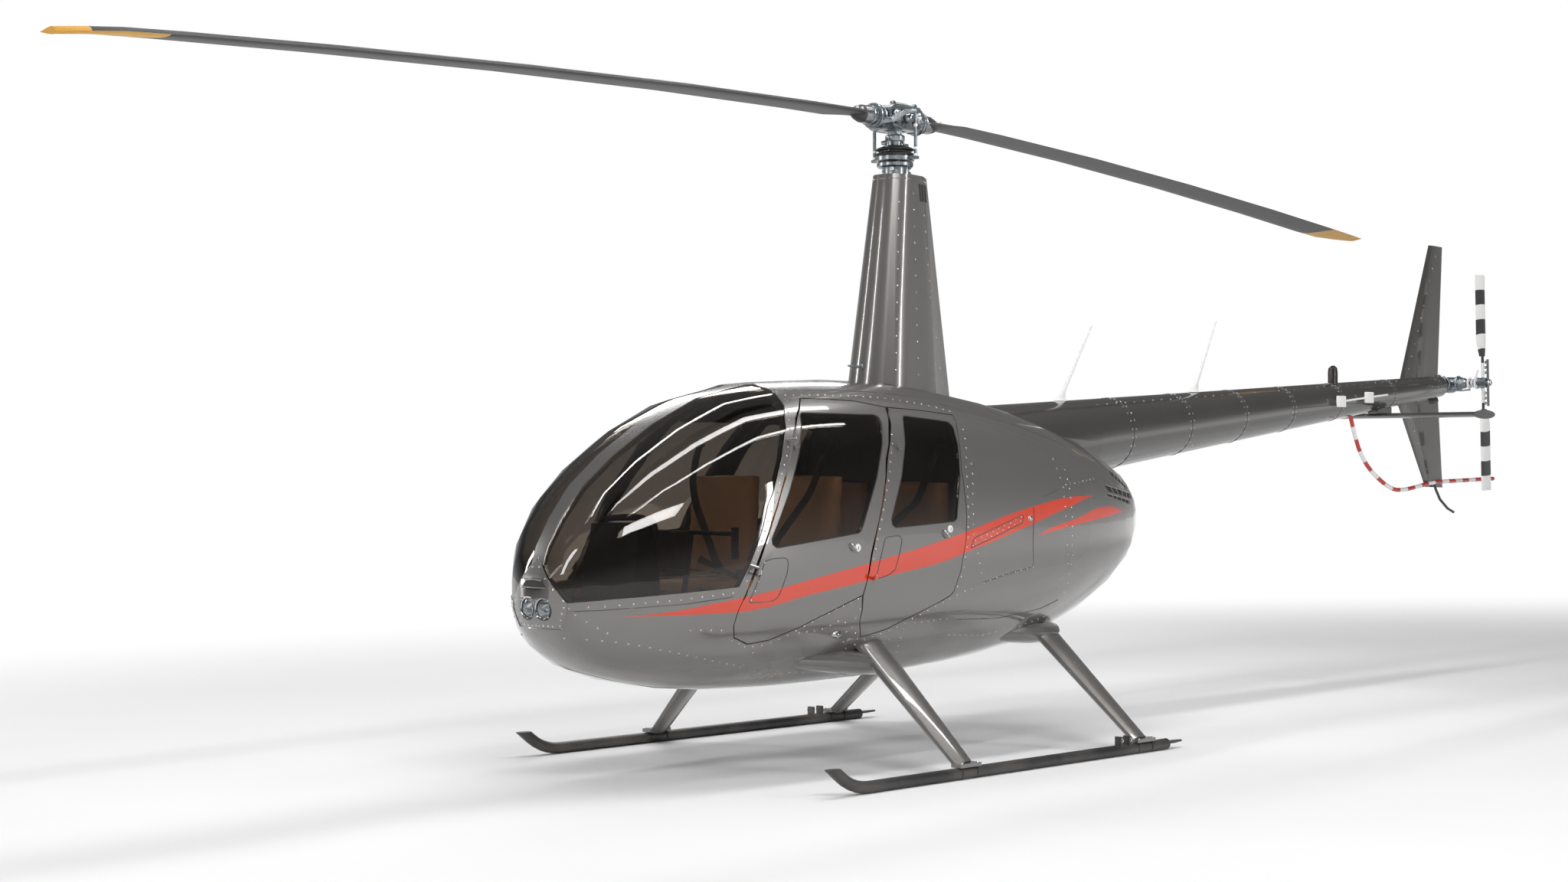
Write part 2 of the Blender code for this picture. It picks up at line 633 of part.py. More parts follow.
def fuselage(cone_cut):
    """Belly and nose, windshield frame, roof, doors, cowls and panes, cut from one skin."""
    skin = body_shell("skin", 0.0, SKIN)
    pane = body_shell("pane", GLASS_IN, GLASS_IN + GLASS_THICKNESS)
    gap = SEAT_GAP
    doorway = FRONT_DOOR[:FRONT_DOOR_CORNER] + REAR_DOOR[REAR_DOOR_SILL:] + FRONT_DOOR[FRONT_DOOR_TOP:]
    doors_grown, frame_knuckles = [], []
    for side in (1, -1):
        label = side_name(side)
        doors_grown.append(skin_cutter(f"cut_doorway_{label}", grown(doorway, DOOR_GAP), side))
        for which, outline, window in (("front", FRONT_DOOR, FRONT_WINDOW), ("rear", REAR_DOOR, REAR_WINDOW)):
            hole = rounded(window, WINDOW_CORNER)
            door_cut = skin_cutter(f"cut_{which}_door_{label}", outline, side, DOOR_EDGE_LEAN)
            hole_cut = skin_cutter(f"cut_{which}_window_{label}", hole, side)
            pane_cut = skin_cutter(f"cut_{which}_pane_{label}", grown(hole, -gap), side)
            door = shell_panel(f"door_{which}_{label}", skin)
            boolean(door, door_cut, "INTERSECT")
            boolean(door, hole_cut, "DIFFERENCE")
            on_door, on_frame = hinge_halves(FRONT_HINGES if which == "front" else REAR_HINGES, side)
            if which == "front":
                frame_knuckles += on_frame
            else:
                for knuckle in on_frame:
                    bpy.data.objects.remove(knuckle, do_unlink=True)
                on_door.append(latch_bolt(side))
            for knuckle in on_door:
                boolean(door, cutter(knuckle), "UNION")
            glass = shell_panel(f"glass_{which}_{label}", pane, "glass")
            boolean(glass, pane_cut, "INTERSECT")

    screens = []
    for side in (1, -1):
        screens.append(screen_cutter(f"cut_screen_{side_name(side)}", WINDSHIELD_SIDE, 0.0, side))
        pane_cut = screen_cutter(f"cut_screen_pane_{side_name(side)}", grown(WINDSHIELD_SIDE, -gap), gap,
                                 side)
        glass = shell_panel(f"windshield_{side_name(side)}", pane, "glass")
        boolean(glass, pane_cut, "INTERSECT")

    fixed = {
        "cabin_tub": [(2.70, KEEL_BOTTOM)] + TUB_TOP + [(1.10, 0.90), (0.60, 0.86), (0.32, 0.838)] + SIDE_SEAM
                     + [(COWL_SPLIT_X, KEEL_BOTTOM)],
        "windshield_frame": [(x, z + gap) for x, z in TUB_TOP]
                            + [(1.45, 1.00), (1.10, 1.70), (ROOF_FRONT_X, 1.82), (ROOF_FRONT_X - 0.02,
                                                                                  CROWN_TOP),
                               (2.70, CROWN_TOP)],
        "roof": [(ROOF_FRONT_X - gap, 1.82), (1.05, 1.72), (0.60, 1.70), (0.24, 1.70)] + CREST
                + [(-1.80, 1.285), (-1.95, CROWN_TOP), (ROOF_FRONT_X - 0.02 - gap, CROWN_TOP)],
        "cowl_aft": [(COWL_SPLIT_X - gap, KEEL_BOTTOM), (COWL_SPLIT_X - gap, 1.5447), (-1.108, 1.42 - gap),
                     (-1.484, 1.335 - gap), (-1.80, 1.285 - gap), (-1.95, KEEL_BOTTOM)],
    }
    lamp_holes = landing_lights()
    open_skin = shell_panel("open_skin", skin)
    for doorway_cut in doors_grown:
        boolean(open_skin, doorway_cut, "DIFFERENCE")
    open_skin = baked(open_skin)
    for name, outline in fixed.items():
        panel = shell_panel(name, open_skin)
        boolean(panel, cutter(prism("cut_" + name, outline, -1.0, 1.0)), "INTERSECT")
        if name == "roof":
            boolean(panel, cone_cut, "DIFFERENCE")
            mast_hole = turned("cut_mast_hole", [(MAST_TUBE_RADIUS + gap, 1.5), (MAST_TUBE_RADIUS + gap,
                                                                                 2.2)],
                               (ROTOR_X, 0), None, MAST_SIDES)
            boolean(panel, cutter(mast_hole), "DIFFERENCE")
        if name == "windshield_frame":
            for screen in screens:
                boolean(panel, screen, "DIFFERENCE")
            for knuckle in frame_knuckles:
                boolean(panel, cutter(knuckle), "UNION")
        if name in ("cabin_tub", "windshield_frame"):
            for hole in lamp_holes:
                boolean(panel, hole, "DIFFERENCE")
    side_cowl = ([(0.32, 0.838 + gap)] + [(x, z + gap) for x, z in SIDE_SEAM]
                 + [(COWL_SPLIT_X, 1.5448), (-0.639, 1.554 - gap), (-0.376, 1.634 - gap),
                    (0.090, 1.741 - gap),
                    (0.24, 1.70 - gap)])
    for side in (1, -1):
        low, high = sorted((0.05 * side, 1.0 * side))
        panel = shell_panel(f"cowl_{side_name(side)}", open_skin)
        region = cutter(prism(f"cut_cowl_{side_name(side)}", side_cowl, low, high))
        boolean(panel, region, "INTERSECT")


def fairing_ring(size, wall):
    """Section of the mast fairing: round in front, drawn out to a thin rear edge."""
    front, rear, half, z = size
    nose = front - wall
    points = []
    for k in range(9):
        turn = math.pi * (k / 8.0 - 0.5)
        points.append((nose - (half - wall) * 1.1 * (1 - math.cos(turn)), (half - wall) * math.sin(turn), z))
    tail_x = rear + wall * 3.0
    shoulder = nose - (half - wall) * 1.1
    middle = shoulder + (tail_x - shoulder) * 0.55
    points.append((middle, (half - wall) * 0.74, z))
    points.append((tail_x, 0.016, z))
    points.append((tail_x, -0.016, z))
    points.append((middle, -(half - wall) * 0.74, z))
    return points


def mast_fairing():
    """Tall hollow fairing round the mast, with a rounded front and a sharp rear edge."""
    outside = rings_mesh("mast_fairing", [fairing_ring(FAIRING_BASE, 0.0), fairing_ring(FAIRING_TOP, 0.0)])
    base = FAIRING_BASE[:3] + (FAIRING_BASE[3] - 0.05,)
    top = FAIRING_TOP[:3] + (FAIRING_TOP[3] + 0.05,)
    bore = [fairing_ring(base, FAIRING_WALL), fairing_ring(top, FAIRING_WALL)]
    boolean(outside, cutter(rings_mesh("cut_fairing_bore", bore, None)), "DIFFERENCE")
    return boolean(outside, body_solid("cut_body_for_fairing", SEAT_GAP), "DIFFERENCE")


def blade_ring(at, chord, thickness, lead, twist, level):
    """Airfoil section across a blade that runs along X; lead is the leading edge's side."""
    shape = [(0.0, 0.0), (0.04, 0.55), (0.14, 0.9), (0.30, 1.0), (0.55, 0.75), (0.80, 0.34), (1.0, 0.05)]
    upper = [(f, t) for f, t in shape]
    lower = [(f, -t * 0.55) for f, t in reversed(shape[1:])]
    ring = []
    for f, t in upper + lower:
        across = (0.30 - f) * chord
        up = t * thickness / 1.55
        ring.append((at, lead * (across * math.cos(twist) - up * math.sin(twist)),
                     level + across * math.sin(twist) + up * math.cos(twist)))
    return ring


def main_rotor():
    """Shaft, teetering hub, two blades and the turning half of the swash plate.

    They are modelled about their own axis and moved onto the mast afterwards."""
    axis = bpy.data.objects.new("main_rotor_axis", None)
    axis.location = (MAST_X + ROTOR_X, 0.0, HUB_Z)
    bpy.context.scene.collection.objects.link(axis)
    long, wide, tall = HUB_HALF
    shaft = turned("main_shaft", [(MAST_RADIUS, MAST_BOTTOM), (MAST_RADIUS, HUB_Z + 0.03),
                                  (0.026, HUB_Z + 0.04),
                                  (0.026, HUB_Z + 0.075), (0.012, HUB_Z + 0.088)], (0, 0), "metal",
                                  MAST_SIDES)
    teeter = rod("teeter_bolt", (0, -wide - 0.020, HUB_Z), (0, wide + 0.020, HUB_Z), 0.020, "metal", 10)
    mast = joined("mast_shaft", [shaft, teeter], "metal")

    cheek = [(-long, -0.045), (-0.100, -tall), (0.100, -tall), (long, -0.045), (long, 0.045), (0.110, tall),
             (-0.110, tall), (-long, 0.045)]
    hub = prism("hub_block", [(x, HUB_Z + z) for x, z in cheek], -wide, wide, "metal")
    bolts = [rod("coning_bolt", (0.098 * end, -wide - 0.012, HUB_Z), (0.098 * end, wide + 0.012, HUB_Z),
                 0.026,
                 "metal", 10) for end in (1, -1)]
    hub = joined("rotor_hub", [hub] + bolts, "metal")
    slot = cutter(box("cut_hub_slot", (-0.062, -MAST_RADIUS - 0.0012, HUB_Z - 0.1),
                      (0.062, MAST_RADIUS + 0.0012, HUB_Z + 0.1), None))
    boolean(hub, slot, "DIFFERENCE")
    boolean(hub, cutter(rod("cut_teeter", (0, -0.1, HUB_Z), (0, 0.1, HUB_Z), 0.0215, None, 10)), "DIFFERENCE")
    made = [mast, hub]
    for end, label in ((1, "a"), (-1, "b")):
        made.append(main_blade(f"main_blade_{label}", end))

    swash = turned("swash_ring", [(MAST_RADIUS + SEAT_GAP, SWASH_Z), (0.095, SWASH_Z),
                                  (0.099, SWASH_Z + 0.004),
                                  (0.099, 3.100), (0.104, 3.104), (0.104, 3.110), (0.070, 3.122),
                                  (0.070, 3.128),
                                  (0.093, 3.134), (0.093, 3.139), (0.052, 3.154),
                                  (MAST_RADIUS + SEAT_GAP, 3.158), (MAST_RADIUS + SEAT_GAP, SWASH_Z)],
                   (0, 0), "metal", MAST_SIDES)
    arm = box("swash_arm", (-0.014, -HORN_REACH - 0.012, SWASH_Z + 0.003), (0.014, HORN_REACH + 0.012,
                                                                            3.093), "metal")
    clear = turned("cut_arm_middle", [(0.080, 3.0), (0.080, 3.2)], (0, 0), None, MAST_SIDES)
    boolean(arm, cutter(clear), "DIFFERENCE")
    made.append(joined("swash_turning", [swash, arm], "metal"))
    for piece in made:
        piece.rotation_euler = (0, 0, ROTOR_AZIMUTH + (math.pi if piece.name == "main_blade_b" else 0.0))
    return axis, made


def main_blade(name, end):
    """Blade with its grip, pitch horn and link, lying along +X; end is 1 ahead, -1 behind."""
    rings = []
    for f in (0.0, 0.014, 0.030, 0.10, 0.30, 0.52, 0.74, 0.90, 0.955, 0.98, 0.994, 1.0):
        at = BLADE_ROOT + (ROTOR_RADIUS - BLADE_ROOT) * f
        grow = min(1.0, 0.30 + f * 23.0)
        tip = max(0.0, (f - 0.93) / 0.07)
        cut_back = BLADE_CHORD * 0.62 * tip**2.2
        chord = BLADE_CHORD * grow - cut_back
        level = HUB_Z - BLADE_DROOP * (at / ROTOR_RADIUS) ** 1.6 + ROTOR_TEETER * at * end
        ring = blade_ring(at, chord, BLADE_THICKNESS * (1.0 + 1.2 * (1 - grow)), 1,
                          BLADE_PITCH[end] - 0.06 * f, level)
        rings.append([(x, y - cut_back * 0.70, z) for x, y, z in ring])
    blade = rings_mesh("blade", rings, "blade")
    slope = ROTOR_TEETER * end - 0.008
    grip = tube("grip", [(at, 0, HUB_Z + slope * (at - 0.135)) for at, _ in GRIP_PROFILE],
                [radius for _, radius in GRIP_PROFILE], "metal", 14)
    horn_z = HUB_Z + 0.030 * end
    horn = tube("pitch_horn", [(0.174, 0.030, HUB_Z - 0.030), (0.170, 0.108, HUB_Z - 0.030),
                               (0.080, 0.131, horn_z - 0.01),
                               (0.0, HORN_REACH, horn_z)], [0.020, 0.017, 0.013, 0.013], "metal", 8)
    link = rod("link", (0, HORN_REACH, 3.093 + SEAT_GAP), (0, HORN_REACH, horn_z), 0.009, "metal", 8)
    return joined(name, [blade, grip, horn, link], "blade")


def place_about_mast(objects):
    """Turn rotor pieces about the mast, their origins moved onto its axis."""
    for made in objects:
        shift = Vector((MAST_X, 0.0, 0.0))
        place = Vector((MAST_X + ROTOR_X, 0.0, 0.0))
        for vert in made.data.vertices:
            vert.co -= shift
        for step in made.modifiers:
            tool = step.object
            if tool and not tool.get("placed"):
                for vert in tool.data.vertices:
                    vert.co -= shift
                tool.location = place
                tool.rotation_euler = made.rotation_euler
                tool["placed"] = 1
        made.location = place


def controls_on_mast():
    """Fixed half of the swash plate on its push rods, and the gearbox under the mast."""
    centre = (ROTOR_X, 0)
    ring = turned("fixed_ring", [(0.0440, SWASH_FIXED_Z), (0.088, SWASH_FIXED_Z), (0.096, 3.048),
                                 (0.096, 3.064),
                                 (0.090, 3.0697), (0.0440, 3.0697), (0.0440, SWASH_FIXED_Z)], centre, "metal",
                  MAST_SIDES)
    rods = []
    for k in range(3):
        turn = math.pi / 6 + 2 * math.pi * k / 3
        x, y = ROTOR_X + 0.080 * math.cos(turn), 0.080 * math.sin(turn)
        rods.append(rod("push_rod", (x, y, 2.90 + SEAT_GAP), (x, y, 3.05), 0.008, "metal", 8))
    joined("swash_fixed", [ring] + rods, "metal")

    wide = MAST_TUBE_RADIUS
    tube_wall = turned("wall", [(SHAFT_HOLE, 1.5597), (wide, 1.5597), (wide, 2.86), (0.094, 2.875),
                                (0.094, 2.90),
                                (wide, 2.90), (wide, SWASH_FIXED_Z - SEAT_GAP),
                                (SHAFT_HOLE, SWASH_FIXED_Z - SEAT_GAP),
                                (SHAFT_HOLE, 1.5597)], centre, "metal", MAST_SIDES)
    casing = turned("casing", [(0.080, 1.20), (0.0995, 1.25), (0.0995, 1.50), (0.080, 1.5797)], centre,
                    "metal",
                    MAST_SIDES)
    seat = cutter(turned("cut_shaft_seat", [(SHAFT_HOLE, 1.5597), (SHAFT_HOLE, 1.70)], centre, None,
                         MAST_SIDES))
    boolean(casing, seat, "DIFFERENCE")
    joined("mast_tube", [tube_wall, casing], "metal")


def tail_cone_ring(x, extra=0.0, sides=24):
    (x0, z0, r0), (x1, z1, r1) = CONE
    f = (x - x0) / (x1 - x0)
    z = z0 + (z1 - z0) * f
    radius = r0 + (r1 - r0) * f + extra
    return [(x, radius * math.sin(2 * math.pi * (k + 0.5) / sides),
             z + radius * math.cos(2 * math.pi * (k + 0.5) / sides))
            for k in range(sides)]


def cone_top(x):
    """Height of the tail cone's flat upper facet."""
    ring = tail_cone_ring(x)
    return max(point[2] for point in ring)


def cone_fairing_rings(extra):
    """Sections of the fairing over the cone's root, a distance larger all round."""
    rings = []
    for x, radius, z, squash in CONE_FAIRING:
        turns = [2 * math.pi * (k + 0.5) / 24 for k in range(24)]
        rings.append([(x, (radius + extra) * squash * math.sin(turn), z + (radius + extra) * math.cos(turn))
                      for turn in turns])
    return rings


def tail_cone():
    """Tapered tube, open at its front end, with a fairing over its root."""
    front, rear = CONE[0][0], CONE[1][0]
    cone = rings_mesh("tail_cone", [tail_cone_ring(front), tail_cone_ring(rear)])
    bore = cutter(rings_mesh("cut_cone_bore", [tail_cone_ring(front + 0.2, -CONE_WALL),
                                               tail_cone_ring(rear + 0.02, -CONE_WALL)], None))
    boolean(cone, bore, "DIFFERENCE")

    fairing = rings_mesh("tail_cone_fairing", cone_fairing_rings(0.0))
    inner = cone_fairing_rings(-0.010)
    inner[0] = [(x + 0.03, y, z) for x, y, z in inner[0]]
    inner[-1] = [(x - 0.05, y, z) for x, y, z in inner[-1]]
    bore = cutter(rings_mesh("cut_fairing_hollow", inner, None))
    boolean(fairing, bore, "DIFFERENCE")
    boolean(fairing, body_solid("cut_body_for_cone", 3 * SEAT_GAP), "DIFFERENCE")
    grown_fairing = [fairing_ring(FAIRING_BASE, -2 * SEAT_GAP), fairing_ring(FAIRING_TOP, -2 * SEAT_GAP)]
    boolean(fairing, cutter(rings_mesh("cut_mast_fairing", grown_fairing, None)), "DIFFERENCE")
    return cone, fairing


def fin(name, outline, colour="body"):
    """Flat fin with thinner edges: a side-view outline given a lens section."""
    (x0, z0), (x1, z1), (x2, z2), (x3, z3) = outline
    rings = []
    for f in np.linspace(0.0, 1.0, 2):
        lead = (x0 + (x1 - x0) * f, z0 + (z1 - z0) * f)
        trail = (x3 + (x2 - x3) * f, z3 + (z2 - z3) * f)
        half = FIN_THICKNESS / 2 * (1.0 - 0.35 * f)
        ring = []
        for share, thick in ((0.0, 0.0), (0.06, 0.6), (0.25, 1.0), (0.55, 0.85), (1.0, 0.12)):
            x = lead[0] + (trail[0] - lead[0]) * share
            z = lead[1] + (trail[1] - lead[1]) * share
            ring.append((x, half * thick, z))
        for share, thick in ((1.0, 0.12), (0.55, 0.85), (0.25, 1.0), (0.06, 0.6)):
            x = lead[0] + (trail[0] - lead[0]) * share
            z = lead[1] + (trail[1] - lead[1]) * share
            ring.append((x, -half * thick, z))
        rings.append(ring)
    return rings_mesh(name, rings, colour)


def tail_surfaces(cone_cut):
    made = [fin("fin_upper", UPPER_FIN), fin("fin_lower", LOWER_FIN)]
    for piece in made:
        boolean(piece, cone_cut, "DIFFERENCE")
    cx, cz = STABILIZER_CENTRE
    rings = []
    for y in (-STABILIZER_HALF_SPAN, STABILIZER_HALF_SPAN):
        ring = []
        for share, thick in ((0.0, 0.0), (0.05, 0.55), (0.2, 0.95), (0.4, 1.0), (0.7, 0.6), (1.0, 0.05)):
            ring.append((cx + STABILIZER_CHORD * (0.5 - share), y, cz + 0.018 * thick))
        for share, thick in ((1.0, 0.05), (0.7, 0.6), (0.4, 1.0), (0.2, 0.95), (0.05, 0.55)):
            ring.append((cx + STABILIZER_CHORD * (0.5 - share), y, cz - 0.018 * thick))
        rings.append(ring)
    plane = rings_mesh("stabilizer", rings)
    caps = []
    for side in (1, -1):
        y0 = side * (STABILIZER_HALF_SPAN - 0.002)
        outline = [(cx + 0.135 * math.cos(2 * math.pi * k / 16), cz + 0.029 * math.sin(2 * math.pi * k / 16))
                   for k in range(16)]
        low, high = sorted((y0, y0 + side * 0.008))
        caps.append(prism("cap", outline, low, high, "body"))
    bracket = box("bracket", (cx - 0.09, -0.035, cz), (cx + 0.09, 0.035, cz + 0.10))
    whole = joined("stabilizer", [plane, bracket] + caps, "body")
    boolean(whole, cone_cut, "DIFFERENCE")
    made.append(whole)
    return made


def tail_gear(cone_cut):
    """Ribbed gearbox behind the cone, guard tube and skid under the lower fin."""
    hub_x, hub_y, hub_z = TAIL_HUB
    x1 = CONE[1][0]
    ribs = [(x1 - SEAT_GAP, 0.060), (x1 - 0.012, 0.060), (x1 - 0.020, 0.038)]
    for k in range(3):
        start = x1 - 0.030 - 0.030 * k
        ribs += [(start, 0.038), (start - 0.003, 0.051), (start - 0.013, 0.051), (start - 0.016, 0.038)]
    ribs += [(hub_x + 0.035, 0.040), (hub_x + 0.025, 0.050), (hub_x - 0.025, 0.050), (hub_x - 0.055, 0.030)]
    body = tube("gearbox_body", [(x, 0, 1.995) for x, _ in ribs], [radius for _, radius in ribs], "metal", 14)
    arm = tube("gearbox_arm", [(hub_x, -0.02, hub_z), (hub_x, 0.09, hub_z), (hub_x, 0.13, hub_z)],
               [0.045, 0.040, 0.026], "metal", 14)
    joined("tail_gearbox", [body, arm], "metal")

    beside = FIN_THICKNESS * 0.65 / 2 + GUARD_RADIUS + SEAT_GAP
    route = [(x, beside * min(max((-4.60 - x) / 0.5, 0.0), 1.0), z) for x, z in smooth(GUARD_ROUTE, 3)]
    guard = tube("guard", route, GUARD_RADIUS, "white", 10)
    skid = tube("skid", [(-5.395, beside, 1.330), (-5.425, beside, 1.278), (-5.500, 0.012, 1.213),
                         (-5.620, 0, 1.149),
                         (-5.702, 0, 1.121)], 0.009, "dark", 8)
    guard = joined("tail_rotor_guard", [guard, skid], "white")
    boolean(guard, cone_cut, "DIFFERENCE")


def smooth(points, steps):
    """Catmull-Rom curve through (a, b) points."""
    out = []
    count = len(points)
    for i in range(count - 1):
        p0 = Vector(points[max(i - 1, 0)])
        p1 = Vector(points[i])
        p2 = Vector(points[i + 1])
        p3 = Vector(points[min(i + 2, count - 1)])
        for k in range(steps):
            t = k / steps
            out.append(tuple(0.5 * ((2 * p1) + (p2 - p0) * t + (2 * p0 - 5 * p1 + 4 * p2 - p3) * t * t
                                    + (3 * p1 - p0 - 3 * p2 + p3) * t**3)))
    out.append(tuple(points[-1]))
    return out


def tail_rotor():
    """Shaft and two-blade tail rotor on the left of the fin."""
    axis = bpy.data.objects.new("tail_rotor_axis", None)
    axis.location = (MAST_X + TAIL_HUB[0], TAIL_HUB[1], TAIL_HUB[2])
    bpy.context.scene.collection.objects.link(axis)
    shaft = rod("shaft", (0, 0.1303 - TAIL_HUB[1], 0), (0, 0.050, 0), 0.014, "metal", 12)
    yoke = rod("yoke", (0, -0.030, 0), (0, 0.030, 0), 0.034, "metal", 12)
    lever = box("lever", (-0.010, 0.034, -0.160), (0.010, 0.042, 0.160), "metal")
    made = [joined("tail_hub", [shaft, yoke, lever], "metal")]
    for end, label in ((1, "a"), (-1, "b")):
        rings = []
        for radius, chord, thick in ((0.180, 0.070, 0.012), (0.275, TAIL_BLADE_CHORD, 0.009),
                                     (TAIL_ROTOR_RADIUS, TAIL_BLADE_CHORD, 0.007)):
            section = [(0.0, 0.0), (0.06, 0.6), (0.25, 1.0), (0.6, 0.7), (1.0, 0.08), (0.6, -0.7),
                       (0.25, -1.0),
                       (0.06, -0.6)]
            rings.append([((0.35 - share) * chord * -end, thick * up, radius * end) for share, up in section])
        blade = rings_mesh(f"tail_blade_{label}", rings, "dark")
        spar = rod("spar", (0, 0, (0.034 + SEAT_GAP) * end), (0, 0, 0.22 * end), 0.0095, "dark", 10)
        made.append(joined(f"tail_blade_{label}", [blade, spar], "dark"))
    tools = [step.object for piece in made for step in piece.modifiers]
    for piece in made + tools:
        for vert in piece.data.vertices:
            vert.co.x -= MAST_X
        piece.location = axis.location
        piece.rotation_euler = (0, TAIL_ROTOR_TILT, 0)
    parent_to(axis, made)


def strut_fairing(where, side):
    """Rounded bulge of the belly over a strut's root."""
    rings = []
    for x, outer, z, half in STRUT_FAIRING[where]:
        middle, wide = (outer + STRUT_FAIRING_INNER_Y) / 2, (outer - STRUT_FAIRING_INNER_Y) / 2
        rings.append([(x, (middle + wide * math.cos(2 * math.pi * k / 16)) * side,
                       z + half * math.sin(2 * math.pi * k / 16)) for k in range(16)])
    return rings_mesh("strut_fairing", rings)


def landing_gear():
    """Two skids, each on a front and a rear strut that comes out of the belly."""
    body_cut = body_solid("cut_body_for_struts", 2 * SEAT_GAP)
    for side in (1, -1):
        label = side_name(side)
        y = SKID_Y * side
        rise, bend, reach = math.radians(38), SKID_FRONT_X - 0.305, 0.30
        route = [(SKID_REAR_X, y, SKID_RADIUS)]
        for k in range(6):
            turn = rise * k / 5
            route.append((bend + reach * math.sin(turn), y, SKID_RADIUS + reach * (1 - math.cos(turn))))
        last = route[-1]
        route.append((SKID_FRONT_X, y, last[2] + (SKID_FRONT_X - last[0]) * math.tan(rise)))
        tube_part = tube(f"skid_{label}", route, SKID_RADIUS, "dark", 14)
        boolean(tube_part, cutter(box("cut_skid_tip", (SKID_FRONT_X - 0.2, y - 0.1, SKID_TIP_Z),
                                      (SKID_FRONT_X + 0.2, y + 0.1, 0.5), None)), "DIFFERENCE")
        plan = [(-0.80, 0.0270), (-0.885, 0.0240), (-0.972, 0.005), (-0.972, -0.005), (-0.885, -0.0240),
                (-0.80, -0.0270)]
        heel = rings_mesh("heel", [[(x, y + across, z) for x, across in plan] for z in (0.030, 0.040)],
                          "metal")
        brackets = [box("wheel_bracket", (x - 0.009, y - 0.020, 0.035), (x + 0.009, y + 0.020, 0.098),
                        "metal")
                    for x in (-0.440, -0.510)]
        joined(f"skid_{label}", [tube_part, heel] + brackets, "dark")
        for where, (x, lean_x, lean_y, high) in STRUTS.items():
            route = [(x + lean_x * (z - 0.07), (STRUT_FOOT_Y + lean_y * (z - 0.07)) * side, z)
                     for z in (2 * SKID_RADIUS + 0.008, high + 0.06)]
            strut = tube("strut", route, [0.062, 0.098], "body", 14, 0.36)
            saddle = box("saddle", (x - 0.075, y - 0.030, 2 * SKID_RADIUS + SEAT_GAP),
                         (x + 0.075, y + 0.030, 2 * SKID_RADIUS + 0.018), "body")
            whole = joined(f"strut_{where}_{label}", [strut, strut_fairing(where, side), saddle], "body")
            boolean(whole, body_cut, "DIFFERENCE")


def cabin():
    """Floor, rear wall, seats, console and controls."""
    made = []
    inside = body_solid("cut_cabin_inside", -SKIN - 0.0025)
    floor = box("cabin_floor", (FIREWALL_X + 0.03, -0.70, FLOOR_Z - 0.02), (2.20, 0.70, FLOOR_Z))
    front_base = box("front_base", (0.98, -0.515, FLOOR_Z - 0.01), (1.45, 0.515, 0.84), "dark")
    rear_base = box("rear_base", (FIREWALL_X + 0.03, -0.515, FLOOR_Z - 0.01), (0.67, 0.515, 0.84), "dark")
    pedals = [box("pedal", (1.93, y - 0.038, FLOOR_Z - 0.01), (1.95, y + 0.038, FLOOR_Z + 0.13), "dark")
              for y in (-0.298, -0.215, 0.215, 0.298)]
    floor = joined("cabin_floor", [floor, front_base, rear_base] + pedals, "dark")
    boolean(floor, inside, "INTERSECT")
    made.append(floor)
    wall = box("firewall", (FIREWALL_X, -0.70, 0.40), (FIREWALL_X + 0.0297, 0.70, 1.95))
    boolean(wall, inside, "INTERSECT")
    made.append(wall)
    for side in (1, -1):
        label = side_name(side)
        for where, x0, top in (("front", 0.98, 1.44), ("rear", 0.20, 1.40)):
            low, high = sorted((0.045 * side, 0.515 * side))
            cushion = box(f"seat_cushion_{where}_{label}", (x0 + 0.13, low + 0.005, 0.8403),
                          (x0 + 0.52, high - 0.005, 0.93), "leather")
            made.append(cushion)
            outline = [(x0 + 0.02, 0.8403), (x0 + 0.12, 0.8403), (x0 + 0.045, top), (x0 - 0.03, top)]
            if where == "rear":
                outline = [(FIREWALL_X + 0.0303, 0.8403), (x0 + 0.12, 0.8403), (x0 + 0.06, top),
                           (FIREWALL_X + 0.0303, top)]
            made.append(prism(f"seat_back_{where}_{label}", outline, low + 0.01, high - 0.01, "leather"))
    console = box("console", (1.62, -0.16, FLOOR_Z + SEAT_GAP), (2.08, 0.16, 0.86), "black")
    panel = prism("panel", [(1.84, 0.80), (2.04, 0.80), (1.98, 1.22), (1.90, 1.22)], -0.17, 0.17, "black")
    made.append(joined("console", [console, panel], "black"))
    stick = tube("stick", [(1.56, 0, FLOOR_Z + SEAT_GAP), (1.56, 0, 0.80), (1.50, 0, 1.16)], 0.014, "black",
                 8)
    arm = rod("arm", (1.50, -0.30, 1.16), (1.50, 0.30, 1.16), 0.011, "black", 8)
    grips = [rod("grip", (1.50, 0.30 * s, 1.04), (1.50, 0.30 * s, 1.19), 0.017, "black", 8) for s in (1, -1)]
    made.append(joined("cyclic", [stick, arm] + grips, "black"))
    lever = tube("lever", [(1.05, 0, 0.8403), (1.05, 0, 0.88), (1.36, 0, 1.00), (1.44, 0, 1.03)],
                 [0.016, 0.012, 0.012, 0.019], "black", 8)
    made.append(joined("collective", [lever], "black"))
    return made


def engine():
    """Engine as one block on two bars that reach the firewall."""
    block = box("engine", (-0.98, -0.32, 0.76), (-0.30, 0.32, 1.12), "dark")
    bars = [box("bar", (-0.35, y - 0.02, 0.86), (FIREWALL_X - SEAT_GAP, y + 0.02, 0.92),
                "dark") for y in (-0.24, 0.24)]
    joined("engine", [block] + bars, "dark")


